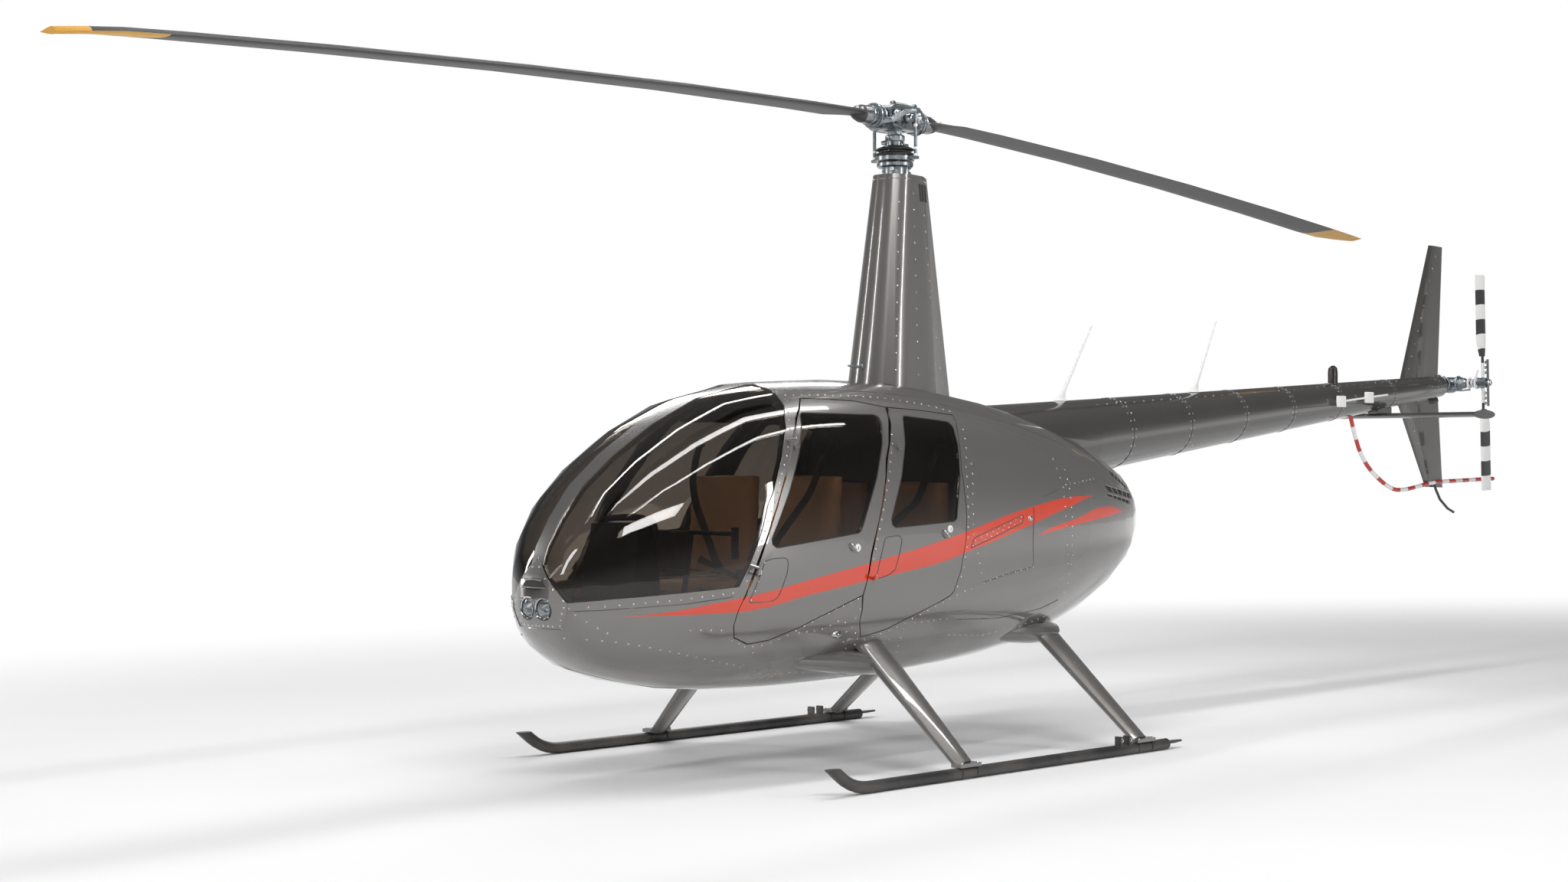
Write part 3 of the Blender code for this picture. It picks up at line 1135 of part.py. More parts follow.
def small_fittings(cone_cut):
    """Two whip aerials, the beacon and the two forked aerials beside the tail cone."""
    fairing_cut = cutter(rings_mesh("cut_cone_fairing", cone_fairing_rings(SEAT_GAP), None))
    for name, base_x, base_z, tip in (("antenna_front", -1.353, 1.80, (-1.644, 2.272)),
                                      ("antenna_rear", -2.647, 1.87, (-2.874, 2.339))):
        rings = []
        for f, long, wide in ((0.0, 0.080, 0.026), (0.10, 0.040, 0.014), (0.19, 0.017, 0.007),
                              (1.0, 0.009, 0.004)):
            x = base_x + (tip[0] - base_x) * max(f - 0.10, 0.0) / 0.90
            z = base_z + (tip[1] - base_z) * f
            rings.append([(x + long * math.cos(2 * math.pi * k / 10), wide * math.sin(2 * math.pi * k / 10),
                           z)
                          for k in range(10)])
        whip = rings_mesh(name, rings, "white")
        boolean(whip, cone_cut, "DIFFERENCE")
        boolean(whip, fairing_cut, "DIFFERENCE")
    beacon = turned("beacon", [(0.032, 1.95), (0.032, 2.055), (0.028, 2.085), (0.012, 2.100)], (-4.18, 0),
                    "dark", 14)
    boolean(beacon, cone_cut, "DIFFERENCE")


def start():
    for made in list(bpy.data.objects):
        bpy.data.objects.remove(made, do_unlink=True)


def parent_to(axis, objects):
    """Parent pieces to an empty on their joint's axis, each staying where it is."""
    bpy.context.view_layer.update()
    for made in objects:
        made.parent = axis
        made.matrix_parent_inverse = axis.matrix_world.inverted()


def door_axis(which, side):
    """Empty on a door's hinge axis, which carries the door and its pane."""
    places = FRONT_HINGES if which == "front" else REAR_HINGES
    middle = (hinge_point(places[0]) + hinge_point(places[1])) / 2
    axis = bpy.data.objects.new(f"door_{which}_{side_name(side)}_axis", None)
    axis.location = (middle.x + MAST_X, middle.y * side, middle.z)
    bpy.context.scene.collection.objects.link(axis)
    names = (f"door_{which}_{side_name(side)}", f"glass_{which}_{side_name(side)}")
    parent_to(axis, [bpy.data.objects[name] for name in names])


def main():
    start()
    cone_cut = cutter(rings_mesh("cut_cone_outside", [tail_cone_ring(-1.40, SEAT_GAP),
                                                      tail_cone_ring(-5.60, SEAT_GAP)],
                                 None))
    fuselage(cone_cut)
    for which in ("front", "rear"):
        for side in (1, -1):
            door_axis(which, side)
    mast_fairing()
    axis, rotor = main_rotor()
    place_about_mast(rotor)
    parent_to(axis, rotor)
    controls_on_mast()
    tail_cone()
    tail_surfaces(cone_cut)
    tail_gear(cone_cut)
    tail_rotor()
    landing_gear()
    cabin()
    engine()
    small_fittings(cone_cut)


main()
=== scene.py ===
"""Looks of a light cabin helicopter on skids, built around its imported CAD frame.

The body's shells are dressed in metallic paint with a swept stripe, the screens in tinted glass,
and rivets, beads, hinges, lamps, seats, belts, cockpit, rotor head and tail fittings are added.
"""

import json
import math

import bmesh
import bpy
from mathutils import Matrix, Vector
from mathutils.bvhtree import BVHTree


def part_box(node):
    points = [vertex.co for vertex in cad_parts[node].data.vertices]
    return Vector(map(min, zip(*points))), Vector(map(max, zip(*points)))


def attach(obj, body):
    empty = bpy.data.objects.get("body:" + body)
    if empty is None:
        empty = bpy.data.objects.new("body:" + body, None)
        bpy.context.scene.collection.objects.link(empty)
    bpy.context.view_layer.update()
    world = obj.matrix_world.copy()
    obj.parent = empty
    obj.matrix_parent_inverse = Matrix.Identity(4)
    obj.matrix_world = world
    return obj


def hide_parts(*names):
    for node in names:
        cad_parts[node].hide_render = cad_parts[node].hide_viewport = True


bl_info = {
    "name": "Light Helicopter Dressing",
    "version": (1, 0, 0),
    "blender": (4, 5, 0),
    "location": "View3D > Sidebar > Helicopter",
    "description": "Paints and details a light helicopter around its CAD frame",
    "category": "Add Mesh",
}

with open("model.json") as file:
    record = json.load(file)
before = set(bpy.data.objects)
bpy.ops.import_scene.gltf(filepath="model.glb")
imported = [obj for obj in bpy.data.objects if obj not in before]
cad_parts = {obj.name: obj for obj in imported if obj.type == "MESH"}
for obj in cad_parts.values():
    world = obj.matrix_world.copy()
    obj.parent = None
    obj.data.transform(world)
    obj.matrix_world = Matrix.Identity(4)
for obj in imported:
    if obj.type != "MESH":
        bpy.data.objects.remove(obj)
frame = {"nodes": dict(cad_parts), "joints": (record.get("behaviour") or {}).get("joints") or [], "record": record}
NODES = frame["nodes"]
JOINTS = {joint["name"]: joint for joint in frame["joints"]}
NODE_BODY = {n: body for body, names in frame["record"]["behaviour"]["bodies"].items() for n in names}
ROTOR_AXIS = Vector(JOINTS["main_rotor_spin"]["pos_m"])
TAIL_AXIS = Vector(JOINTS["tail_rotor_spin"]["pos_m"])
MAST_X = ROTOR_AXIS.x - 0.030
ROTOR_TURN = 0.092

# Distances from a rotor's axis: tail blade tip, start of the main blades' warning paint, end of their grips
TAIL_RADIUS, TIP_START, UNDER_START, GRIP_END = 0.737, 4.93, 4.63, 0.262
BAND_PITCH, GUARD_PITCH, GUARD_REACH = 0.1, 0.09, 0.024
HUB_Z, GRIP_Z = 3.297, 3.296
SKID_Y = 1.090

# Side profile and plan of the cabin body, as (distance ahead of the mast, value)
NOSE_X = 2.485
TOP_LINE = [(2.485, 0.90), (2.462, 1.06), (2.386, 1.203), (2.293, 1.335), (2.164, 1.457),
            (1.965, 1.595), (1.693, 1.745), (1.407, 1.85), (1.1, 1.897), (0.7, 1.915),
            (0.2, 1.90), (0.0, 1.88), (-0.4, 1.82), (-0.8, 1.73), (-1.2, 1.61),
            (-1.5, 1.485), (-1.65, 1.38), (-1.74, 1.26), (-1.76, 1.18)]
BOTTOM_LINE = [(2.485, 0.90), (2.462, 0.76), (2.39, 0.65), (2.29, 0.57), (2.164, 0.515),
               (1.965, 0.465), (1.693, 0.42), (1.4, 0.402), (1.0, 0.392), (0.5, 0.40),
               (0.0, 0.425), (-0.6, 0.49), (-0.9, 0.565), (-1.2, 0.67), (-1.45, 0.80),
               (-1.65, 0.97), (-1.74, 1.10), (-1.76, 1.18)]
HALF_WIDTH = [(2.485, 0.0), (2.462, 0.16), (2.39, 0.285), (2.29, 0.375), (2.164, 0.45),
              (1.965, 0.53), (1.693, 0.60), (1.407, 0.625), (1.1, 0.635), (0.7, 0.64),
              (0.3, 0.64), (-0.4, 0.625), (-0.8, 0.585), (-1.0, 0.55), (-1.4, 0.44),
              (-1.6, 0.34), (-1.72, 0.20), (-1.76, 0.0)]
WIDEST_LINE = [(2.485, 0.90), (2.0, 0.93), (1.5, 1.0), (1.0, 1.03), (0.0, 1.05),
               (-0.6, 1.08), (-1.2, 1.12), (-1.76, 1.18)]
SECTION_POWERS = (2.7, 2.3)
# Tail cone: its ends as (x, height, radius), and its riveted joints; all x ahead of the mast
CONE_ENDS = ((-1.462, 1.624, 0.217), (-5.500, 1.986, 0.073))
CONE_LEAN = 0.036
CONE_JOINTS = (-1.773, -2.372, -2.967, -3.517, -4.102, -4.784)
STUD_SINK = 0.0015

# Edges of the stripe and of its lower finger, as (distance ahead of the mast, height)
STRIPE_TOP = [(2.413, 0.806), (1.743, 0.877), (1.317, 0.948), (0.80, 1.033), (0.402, 1.105),
              (0.21, 1.146), (-0.109, 1.219), (-0.346, 1.262), (-0.724, 1.307), (-1.06, 1.309)]
STRIPE_FOOT = [(2.413, 0.809), (1.735, 0.812), (1.31, 0.876), (0.80, 0.945), (0.402, 0.998),
               (0.212, 1.041), (-0.094, 1.112), (-0.339, 1.173), (-0.66, 1.249), (-1.06, 1.312)]
FINGER_TOP = [(-0.214, 1.090), (-0.525, 1.155), (-0.707, 1.185), (-1.117, 1.247), (-1.381, 1.211)]
FINGER_FOOT = [(-0.214, 1.093), (-0.337, 1.105), (-0.652, 1.148), (-1.075, 1.191), (-1.381, 1.214)]
STRIPE_BOX = (-1.5, 2.5, 0.75, 1.35)


def colour_property(name, description, value):
    return bpy.props.FloatVectorProperty(
        name=name, description=description, subtype="COLOR", size=3, min=0, max=1, default=value)


def length_property(name, description, least, most, value):
    return bpy.props.FloatProperty(
        name=name, description=description, unit="LENGTH", min=least, max=most, default=value)


class HelicopterColours(bpy.types.PropertyGroup):
    """Colours of the finishes."""

    paint: colour_property("Paint", "Metallic paint of the body", (0.180, 0.172, 0.164))
    stripe: colour_property("Stripe", "Stripe along the body's sides", (0.62, 0.040, 0.010))
    glass: colour_property("Glass", "Tint of the screens and windows", (0.36, 0.325, 0.29))
    leather: colour_property("Leather", "Seat leather", (0.86, 0.50, 0.27))
    trim: colour_property("Trim", "Dark moulded parts", (0.018, 0.018, 0.019))
    blade: colour_property("Blade", "Matt paint of the main rotor blades", (0.034, 0.034, 0.036))
    tip: colour_property("Blade tip", "Warning paint on the blade tips", (0.62, 0.33, 0.05))
    guard: colour_property("Guard bands", "Warning bands on the tail guard", (0.50, 0.025, 0.02))
    metal: colour_property("Bare metal", "Machined rotor head parts", (0.33, 0.36, 0.38))
    white: colour_property("White", "Antennas and white bands", (0.80, 0.80, 0.79))


class HelicopterSizes(bpy.types.PropertyGroup):
    """Sizes of the added pieces."""

    rivet_radius: length_property("Rivet radius", "Radius of a rivet's head", 0.001, 0.02, 0.0056)
    rivet_height: length_property("Rivet height", "How far a rivet's head stands up", 0.0005, 0.01, 0.0026)
    rivet_spacing: length_property("Rivet spacing", "Distance between rivets in a row", 0.01, 0.5, 0.050)
    bead_radius: length_property("Bead radius", "Radius of the raised beads round panels", 0.0005, 0.01,
                                 0.0021)
    lamp_radius: length_property("Lamp radius", "Radius of a landing light's bezel", 0.02, 0.1, 0.052)
    belt_width: length_property("Belt width", "Width of a seat belt's webbing", 0.02, 0.08, 0.046)


def curve_through(points):
    """Monotone cubic through (x, value) points, on the square root of the distance from the nose."""
    data = sorted((math.sqrt(max(NOSE_X - x, 0.0)), value) for x, value in points)
    u, v = [row[0] for row in data], [row[1] for row in data]
    width = [b - a for a, b in zip(u, u[1:])]
    slope = [(b - a) / w for a, b, w in zip(v, v[1:], width)]
    tangent = [slope[0]] + [0.0] * (len(u) - 2) + [slope[-1]]
    for i in range(1, len(u) - 1):
        if slope[i - 1] * slope[i] > 0:
            a, b = 2 * width[i] + width[i - 1], width[i] + 2 * width[i - 1]
            tangent[i] = (a + b) / (a / slope[i - 1] + b / slope[i])

    def value(x):
        at = math.sqrt(max(NOSE_X - x, 0.0))
        i = 0
        while i < len(width) - 1 and at > u[i + 1]:
            i += 1
        s = (at - u[i]) / width[i]
        return ((2 * s**3 - 3 * s**2 + 1) * v[i] + (s**3 - 2 * s**2 + s) * width[i] * tangent[i]
                + (3 * s**2 - 2 * s**3) * v[i + 1] + (s**3 - s**2) * width[i] * tangent[i + 1])
    return value


top_z, bottom_z = curve_through(TOP_LINE), curve_through(BOTTOM_LINE)
half_width, widest_z = curve_through(HALF_WIDTH), curve_through(WIDEST_LINE)


def body_level(point):
    """Below zero inside the cabin body and above zero outside."""
    x, y, z = point[0] - MAST_X, point[1], point[2]
    middle = widest_z(x)
    power = SECTION_POWERS[0] if z > middle else SECTION_POWERS[1]
    height = top_z(x) - middle if z > middle else middle - bottom_z(x)
    return ((abs(y) / max(half_width(x), 1e-5)) ** power
            + (abs(z - middle) / max(height, 1e-5)) ** power - 1.0)


def body_normal(point, step=0.003):
    """Outward normal of the cabin body at a point near it."""
    grad = []
    for axis in range(3):
        ahead, behind = list(point), list(point)
        ahead[axis] += step
        behind[axis] -= step
        grad.append(body_level(ahead) - body_level(behind))
    return Vector(grad).normalized()


def cone_point(x, turn, lift=0.0):
    """Point and outward normal of the tail cone; turn runs from its top over the left side."""
    (x0, z0, r0), (x1, z1, r1) = CONE_ENDS
    share = (x - x0) / (x1 - x0)
    out = Vector((CONE_LEAN, math.sin(turn), math.cos(turn))).normalized()
    centre = Vector((x + MAST_X, 0.0, z0 + (z1 - z0) * share))
    radius = r0 + (r1 - r0) * share + lift
    return centre + Vector((0.0, math.sin(turn), math.cos(turn))) * radius, out


class Skin:
    """The CAD nodes' surfaces, to set pieces on."""

    def __init__(self):
        self.trees = {}

    def tree(self, node):
        if node not in self.trees:
            mesh = NODES[node].data
            self.trees[node] = BVHTree.FromPolygons([v.co[:] for v in mesh.vertices],
                                                    [p.vertices[:] for p in mesh.polygons])
        return self.trees[node]

    def hit(self, start, way, nodes):
        """First of these nodes met from start: (point, normal, node), or None."""
        best = None
        for node in nodes:
            place, normal, _, far = self.tree(node).ray_cast(Vector(start), Vector(way).normalized())
            if place is not None and (best is None or far < best[3]):
                best = (place, normal, node, far)
        return best[:3] if best else None


SKIN = Skin()
SHELLS = ["cabin_tub", "windshield_frame", "roof", "cowl_aft", "cowl_left", "cowl_right",
          "door_front_left", "door_front_right", "door_rear_left", "door_rear_right"]


def side_point(x, z, side=1):
    """Place on the body's side from its side view, x ahead of the mast: (point, normal, node)."""
    found = SKIN.hit((x + MAST_X, side * 1.0, z), (0, -side, 0), SHELLS)
    if found is None or abs(found[0].y) < 0.02:
        return None
    return found[0], body_normal(found[0]), found[2]


def clear_selection():
    for made in bpy.context.selected_objects:
        made.select_set(False)


def take(piece):
    """Make a piece the only selected object."""
    clear_selection()
    piece.select_set(True)
    bpy.context.view_layer.objects.active = piece
    return piece


def new_piece(name, verts, faces):
    mesh = bpy.data.meshes.new(name)
    mesh.from_pydata([tuple(v) for v in verts], [], faces)
    piece = bpy.data.objects.new(name, mesh)
    bpy.context.scene.collection.objects.link(piece)
    return piece


def faced_out(piece):
    """Turn all faces of a closed piece outward."""
    take(piece)
    bpy.ops.object.mode_set(mode="EDIT")
    bpy.ops.mesh.select_all(action="SELECT")
    bpy.ops.mesh.normals_make_consistent(inside=False)
    bpy.ops.object.mode_set(mode="OBJECT")
    return piece


def merged_copy(name, node):
    """A new piece from a CAD node's triangles, with its doubles merged."""
    mesh = NODES[node].data.copy()
    mesh.name = name
    mesh.materials.clear()
    piece = bpy.data.objects.new(name, mesh)
    bpy.context.scene.collection.objects.link(piece)
    work = bmesh.new()
    work.from_mesh(mesh)
    bmesh.ops.remove_doubles(work, verts=work.verts, dist=0.00002)
    work.to_mesh(mesh)
    work.free()
    if "custom_normal" in mesh.attributes:
        mesh.attributes.remove(mesh.attributes["custom_normal"])
    return piece


def smooth(piece, degrees=35):
    take(piece)
    bpy.ops.object.shade_smooth_by_angle(angle=math.radians(degrees))
    return piece


def finished(piece, body, slot, *materials, replaces=()):
    """Put a finished piece on its body, with its place in its mesh."""
    take(piece)
    bpy.ops.object.transform_apply(location=True, rotation=True, scale=True)
    for name in materials:
        piece.data.materials.append(material(name))
    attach(piece, body)
    if replaces:
        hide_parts(*replaces)
    return piece


def joined(name, pieces):
    """One object out of several."""
    take(pieces[0])
    for piece in pieces:
        piece.select_set(True)
    bpy.ops.object.join()
    made = bpy.context.view_layer.objects.active
    made.name = made.data.name = name
    return made


def sweep(name, points, radius, sides=8, closed=False, radii=None, caps=True):
    """A round bar along points, made from a curve."""
    curve = bpy.data.curves.new(name, "CURVE")
    curve.dimensions = "3D"
    line = curve.splines.new("POLY")
    line.points.add(len(points) - 1)
    for i, (point, place) in enumerate(zip(line.points, points)):
        point.co = (*place, 1.0)
        point.radius = radii[i] if radii else 1.0
    line.use_cyclic_u = closed
    curve.bevel_depth = radius
    curve.bevel_resolution = max(0, sides // 2 - 2)
    curve.use_fill_caps = caps and not closed
    piece = bpy.data.objects.new(name, curve)
    bpy.context.scene.collection.objects.link(piece)
    take(piece)
    bpy.ops.object.convert(target="MESH")
    piece = bpy.context.view_layer.objects.active
    piece.name = name
    return smooth(piece, 50)


def softened(points, steps=4):
    """Points of a smooth open curve through these."""
    out = []
    ends = [points[0]] + list(points) + [points[-1]]
    for a, b, c, d in zip(ends, ends[1:], ends[2:], ends[3:]):
        a, b, c, d = Vector(a), Vector(b), Vector(c), Vector(d)
        for k in range(steps):
            t = k / steps
            out.append(0.5 * ((2 * b) + (c - a) * t + (2 * a - 5 * b + 4 * c - d) * t**2
                              + (3 * b - a - 3 * c + d) * t**3))
    out.append(Vector(points[-1]))
    return out


def spun(name, profile, centre, axis, steps=24):
    """A turned piece: (radius, along) profile spun round an axis through centre."""
    axis = Vector(axis).normalized()
    side = axis.orthogonal().normalized()
    verts = [Vector(centre) + side * r + axis * a for r, a in profile]
    mesh = bpy.data.meshes.new(name)
    mesh.from_pydata([tuple(v) for v in verts], [(i, i + 1) for i in range(len(verts) - 1)], [])
    piece = bpy.data.objects.new(name, mesh)
    bpy.context.scene.collection.objects.link(piece)
    take(piece)
    bpy.ops.object.mode_set(mode="EDIT")
    bpy.ops.mesh.select_all(action="SELECT")
    bpy.ops.mesh.spin(steps=steps, angle=2 * math.pi, center=tuple(centre), axis=tuple(axis))
    bpy.ops.mesh.select_all(action="SELECT")
    bpy.ops.mesh.remove_doubles(threshold=0.00005)
    bpy.ops.mesh.normals_make_consistent(inside=False)
    bpy.ops.object.mode_set(mode="OBJECT")
    return smooth(piece, 32)


def band_profile(radius, depth, half, lip):
    """Profile of a flat ring with bevelled edges, for spun."""
    return [(radius - depth, -half), (radius, -half), (radius + lip, -0.003), (radius + lip, 0.003),
            (radius, half), (radius - depth, half)]


def ridge_profile(radius, depth):
    """Profile of a ring with one ridge, for spun."""
    return [(radius - depth, -0.006), (radius, -0.006), (radius + 0.003, 0), (radius, 0.006),
            (radius - depth, 0.006)]


def block(name, low, high, chamfer=0.003, segments=2):
    """A box between two corners with its edges bevelled."""
    low, high = Vector(low), Vector(high)
    clear_selection()
    bpy.ops.mesh.primitive_cube_add(size=1, location=(low + high) / 2, scale=high - low)
    piece = bpy.context.view_layer.objects.active
    piece.name = piece.data.name = name
    bpy.ops.object.transform_apply(location=True, rotation=True, scale=True)
    bpy.ops.object.mode_set(mode="EDIT")
    bpy.ops.mesh.select_all(action="SELECT")
    bpy.ops.mesh.bevel(offset=chamfer, segments=segments, affect="EDGES")
    bpy.ops.object.mode_set(mode="OBJECT")
    return smooth(piece, 40)


def around(count, start=0.0):
    """Angles evenly round a circle."""
    return [2 * math.pi * k / count + start for k in range(count)]


def coated(piece, *names):
    """Give a piece its finishes."""
    for name in names:
        piece.data.materials.append(material(name))
    return piece


def spaced(points, spacing):
    """Places a spacing apart along a line of points."""
    points = [Vector(point) for point in points]
    lengths = [(b - a).length for a, b in zip(points, points[1:])]
    count = max(1, round(sum(lengths) / spacing))
    out = []
    for k in range(count + 1):
        at, i = sum(lengths) * k / count, 0
        while i < len(lengths) - 1 and at > lengths[i]:
            at -= lengths[i]
            i += 1
        out.append(points[i].lerp(points[i + 1], min(1.0, at / max(lengths[i], 1e-9))))
    return out


def side_line(points, spacing, side):
    """Places on the body's side along a line given in its side view."""
    found = [side_point(x, z, side) for x, z in spaced(points, spacing)]
    return [place for place in found if place]


def front_point(y, z):
    """Place on the nose from its front view: (point, normal, node)."""
    place, _, node = SKIN.hit((3.6, y, z), (-1, 0, 0), SHELLS)
    return place, body_normal(place), node


def node_point(node, x, z, side=1):
    """Place on a node's side from its side view: (point, normal, node), or None."""
    return SKIN.hit((x + MAST_X, side * 1.2, z), (0, -side, 0), [node])


class Studs:
    """Small fasteners gathered by the body they move with, one joined piece for each body."""

    def __init__(self, name, finish, slot, radius, height, rings=3, sides=8):
        self.name, self.finish, self.slot, self.places = name, finish, slot, {}
        clear_selection()
        bpy.ops.mesh.primitive_uv_sphere_add(segments=sides, ring_count=rings * 2, radius=1.0)
        dome = bpy.context.view_layer.objects.active
        dome.scale = (radius, radius, height)
        bpy.ops.object.transform_apply(location=False, rotation=False, scale=True)
        bpy.ops.object.mode_set(mode="EDIT")
        bpy.ops.mesh.select_all(action="SELECT")
        bpy.ops.mesh.bisect(plane_co=(0, 0, -height * 0.1), plane_no=(0, 0, 1), clear_inner=True,
                            use_fill=True)
        bpy.ops.object.mode_set(mode="OBJECT")
        self.verts = [vert.co.copy() for vert in dome.data.vertices]
        self.faces = [tuple(face.vertices) for face in dome.data.polygons]
        bpy.data.objects.remove(dome, do_unlink=True)

    def add(self, body, point, out):
        self.places.setdefault(body, []).append((Vector(point), Vector(out).normalized()))

    def row(self, places):
        for place, out, node in places:
            self.add(NODE_BODY[node], place, out)

    def finish_all(self):
        for body, places in self.places.items():
            verts, faces = [], []
            for place, out in places:
                turn = out.to_track_quat("Z", "Y").to_matrix()
                base = len(verts)
                verts += [place + turn @ vert for vert in self.verts]
                faces += [tuple(base + i for i in face) for face in self.faces]
            piece = smooth(new_piece(f"{self.name}_{body}", verts, faces), 60)
            finished(piece, body, self.slot, self.finish)


def bead(name, places, radius, lift=0.0, closed=False):
    """A fine raised line along places on the body."""
    return sweep(name, [place + out * lift for place, out, _ in places], radius, 6, closed)


def beads_by_body(name, lines, radius, finish, slot, lift=0.0):
    """Fine lines, one piece for each body they lie on."""
    groups = {}
    for places, closed in lines:
        if len(places) > 1:
            body = NODE_BODY[places[len(places) // 2][2]]
            groups.setdefault(body, []).append(bead(name, places, radius, lift, closed))
    for body, pieces in groups.items():
        finished(joined(f"{name}_{body}", pieces), body, slot, finish)


def skin_patch(name, corners, across, down, cast, lift, depth):
    """A thin closed plate that follows the skin between four corners of a view."""
    (a, b, c, d), grid = [Vector(corner) for corner in corners], []
    for j in range(down + 1):
        for i in range(across + 1):
            place, out = cast(*a.lerp(b, i / across).lerp(d.lerp(c, i / across), j / down))[:2]
            grid.append((place, out))
    verts = [place + out * lift for place, out in grid] + [place + out * (lift - depth) for place,
                                                           out in grid]
    wide, count, faces = across + 1, len(grid), []
    for j in range(down):
        for i in range(across):
            k = j * wide + i
            quad = (k, k + 1, k + wide + 1, k + wide)
            faces += [quad, tuple(count + n for n in reversed(quad))]
    edge = ([i for i in range(wide)] + [j * wide + across for j in range(1, down + 1)]
            + [down * wide + i for i in range(across - 1, -1, -1)] + [j * wide for j in range(down - 1, 0,
                                                                                              -1)])
    for k, n in zip(edge, edge[1:] + edge[:1]):
        faces.append((n, k, count + k, count + n))
    return smooth(faced_out(new_piece(name, verts, faces)), 40)


def bolt(name, point, axis, size, height, finish="bright"):
    """A hexagon bolt head on a washer."""
    head = spun(name, [(0, height), (size * 0.86, height), (size, height * 0.86), (size, 0), (0, 0)],
                point, axis, 6)
    washer = spun(name + "_washer",
                  [(0, height * 0.25), (size * 1.35, height * 0.25), (size * 1.45, 0), (0, 0)],
                  point, axis, 16)
    return coated(joined(name, [head, washer]), finish)


# Materials

def group_tree(name, inputs, outputs):
    """An empty shader node group with these sockets: (name, kind, default)."""
    tree = bpy.data.node_groups.new(name, "ShaderNodeTree")
    for label, kind, default in inputs:
        socket = tree.interface.new_socket(name=label, in_out="INPUT", socket_type=kind)
        socket.default_value = default
    for label, kind in outputs:
        tree.interface.new_socket(name=label, in_out="OUTPUT", socket_type=kind)
    return tree, tree.nodes.new("NodeGroupInput"), tree.nodes.new("NodeGroupOutput")


def put(tree, kind, values=None, **settings):
    """Add a node; values are socket name or number to a value or another node's socket."""
    node = tree.nodes.new(kind)
    for key, value in settings.items():
        setattr(node, key, value)
    return wired(tree, node, values or {})


def wired(tree, node, values):
    for key, value in values.items():
        if isinstance(value, bpy.types.NodeSocket):
            tree.links.new(value, node.inputs[key])
        else:
            node.inputs[key].default_value = value
    return node


def mixed(tree, share, one, other):
    """Colour between two, by a share."""
    return put(tree, "ShaderNodeMix", {0: share, 6: one, 7: other}, data_type="RGBA").outputs[2]


def noise(tree, place, scale, detail, **more):
    return put(tree, "ShaderNodeTexNoise",
               {"Vector": place, "Scale": scale, "Detail": detail, **more}).outputs[0]


def sum_of(tree, operation, a, b, clamp=False):
    return put(tree, "ShaderNodeMath", {0: a, 1: b}, operation=operation, use_clamp=clamp).outputs[0]


def object_place(tree):
    return put(tree, "ShaderNodeTexCoord").outputs["Object"]


FLOAT, COLOUR = "NodeSocketFloat", "NodeSocketColor"


def flow_group():
    """Waves of a thin riveted sheet, orange peel of the paint and a film of dust."""
    tree, given, out = group_tree(
        "Sheet and dust",
        [("Colour", COLOUR, (0.2, 0.2, 0.2, 1)), ("Dust", FLOAT, 0.1), ("Waves", FLOAT, 1.0),
         ("Roughness", FLOAT, 0.25)],
        [("Colour", COLOUR), ("Roughness", FLOAT), ("Height", FLOAT)])
    place = object_place(tree)
    waves, peel = noise(tree, place, 3.2, 1.0), noise(tree, place, 190.0, 2.0)
    height = sum_of(tree, "ADD", sum_of(tree, "MULTIPLY", waves, given.outputs["Waves"]),
                    sum_of(tree, "MULTIPLY", peel, 0.010))
    film, specks = noise(tree, place, 1.7, 8.0, Roughness=0.62), noise(tree, place, 60.0, 4.0)
    low = put(tree, "ShaderNodeSeparateXYZ", {0: place}).outputs[2]
    near_ground = put(tree, "ShaderNodeMapRange", {0: low, 1: 1.0, 2: 0.3, 3: 0.35, 4: 1.0}).outputs[0]
    dust = put(tree, "ShaderNodeMapRange", {0: film, 1: 0.42, 2: 0.75}).outputs[0]
    dust = sum_of(tree, "MULTIPLY", sum_of(tree, "MULTIPLY", dust, near_ground), given.outputs["Dust"])
    dust = sum_of(tree, "MULTIPLY", dust, sum_of(tree, "ADD", specks, 0.5), True)
    colour = mixed(tree, dust, given.outputs["Colour"], (0.36, 0.33, 0.29, 1))
    tree.links.new(colour, out.inputs["Colour"])
    rough = sum_of(tree, "ADD", given.outputs["Roughness"], sum_of(tree, "MULTIPLY", dust, 0.5), True)
    tree.links.new(rough, out.inputs["Roughness"])
    tree.links.new(height, out.inputs["Height"])
    return tree


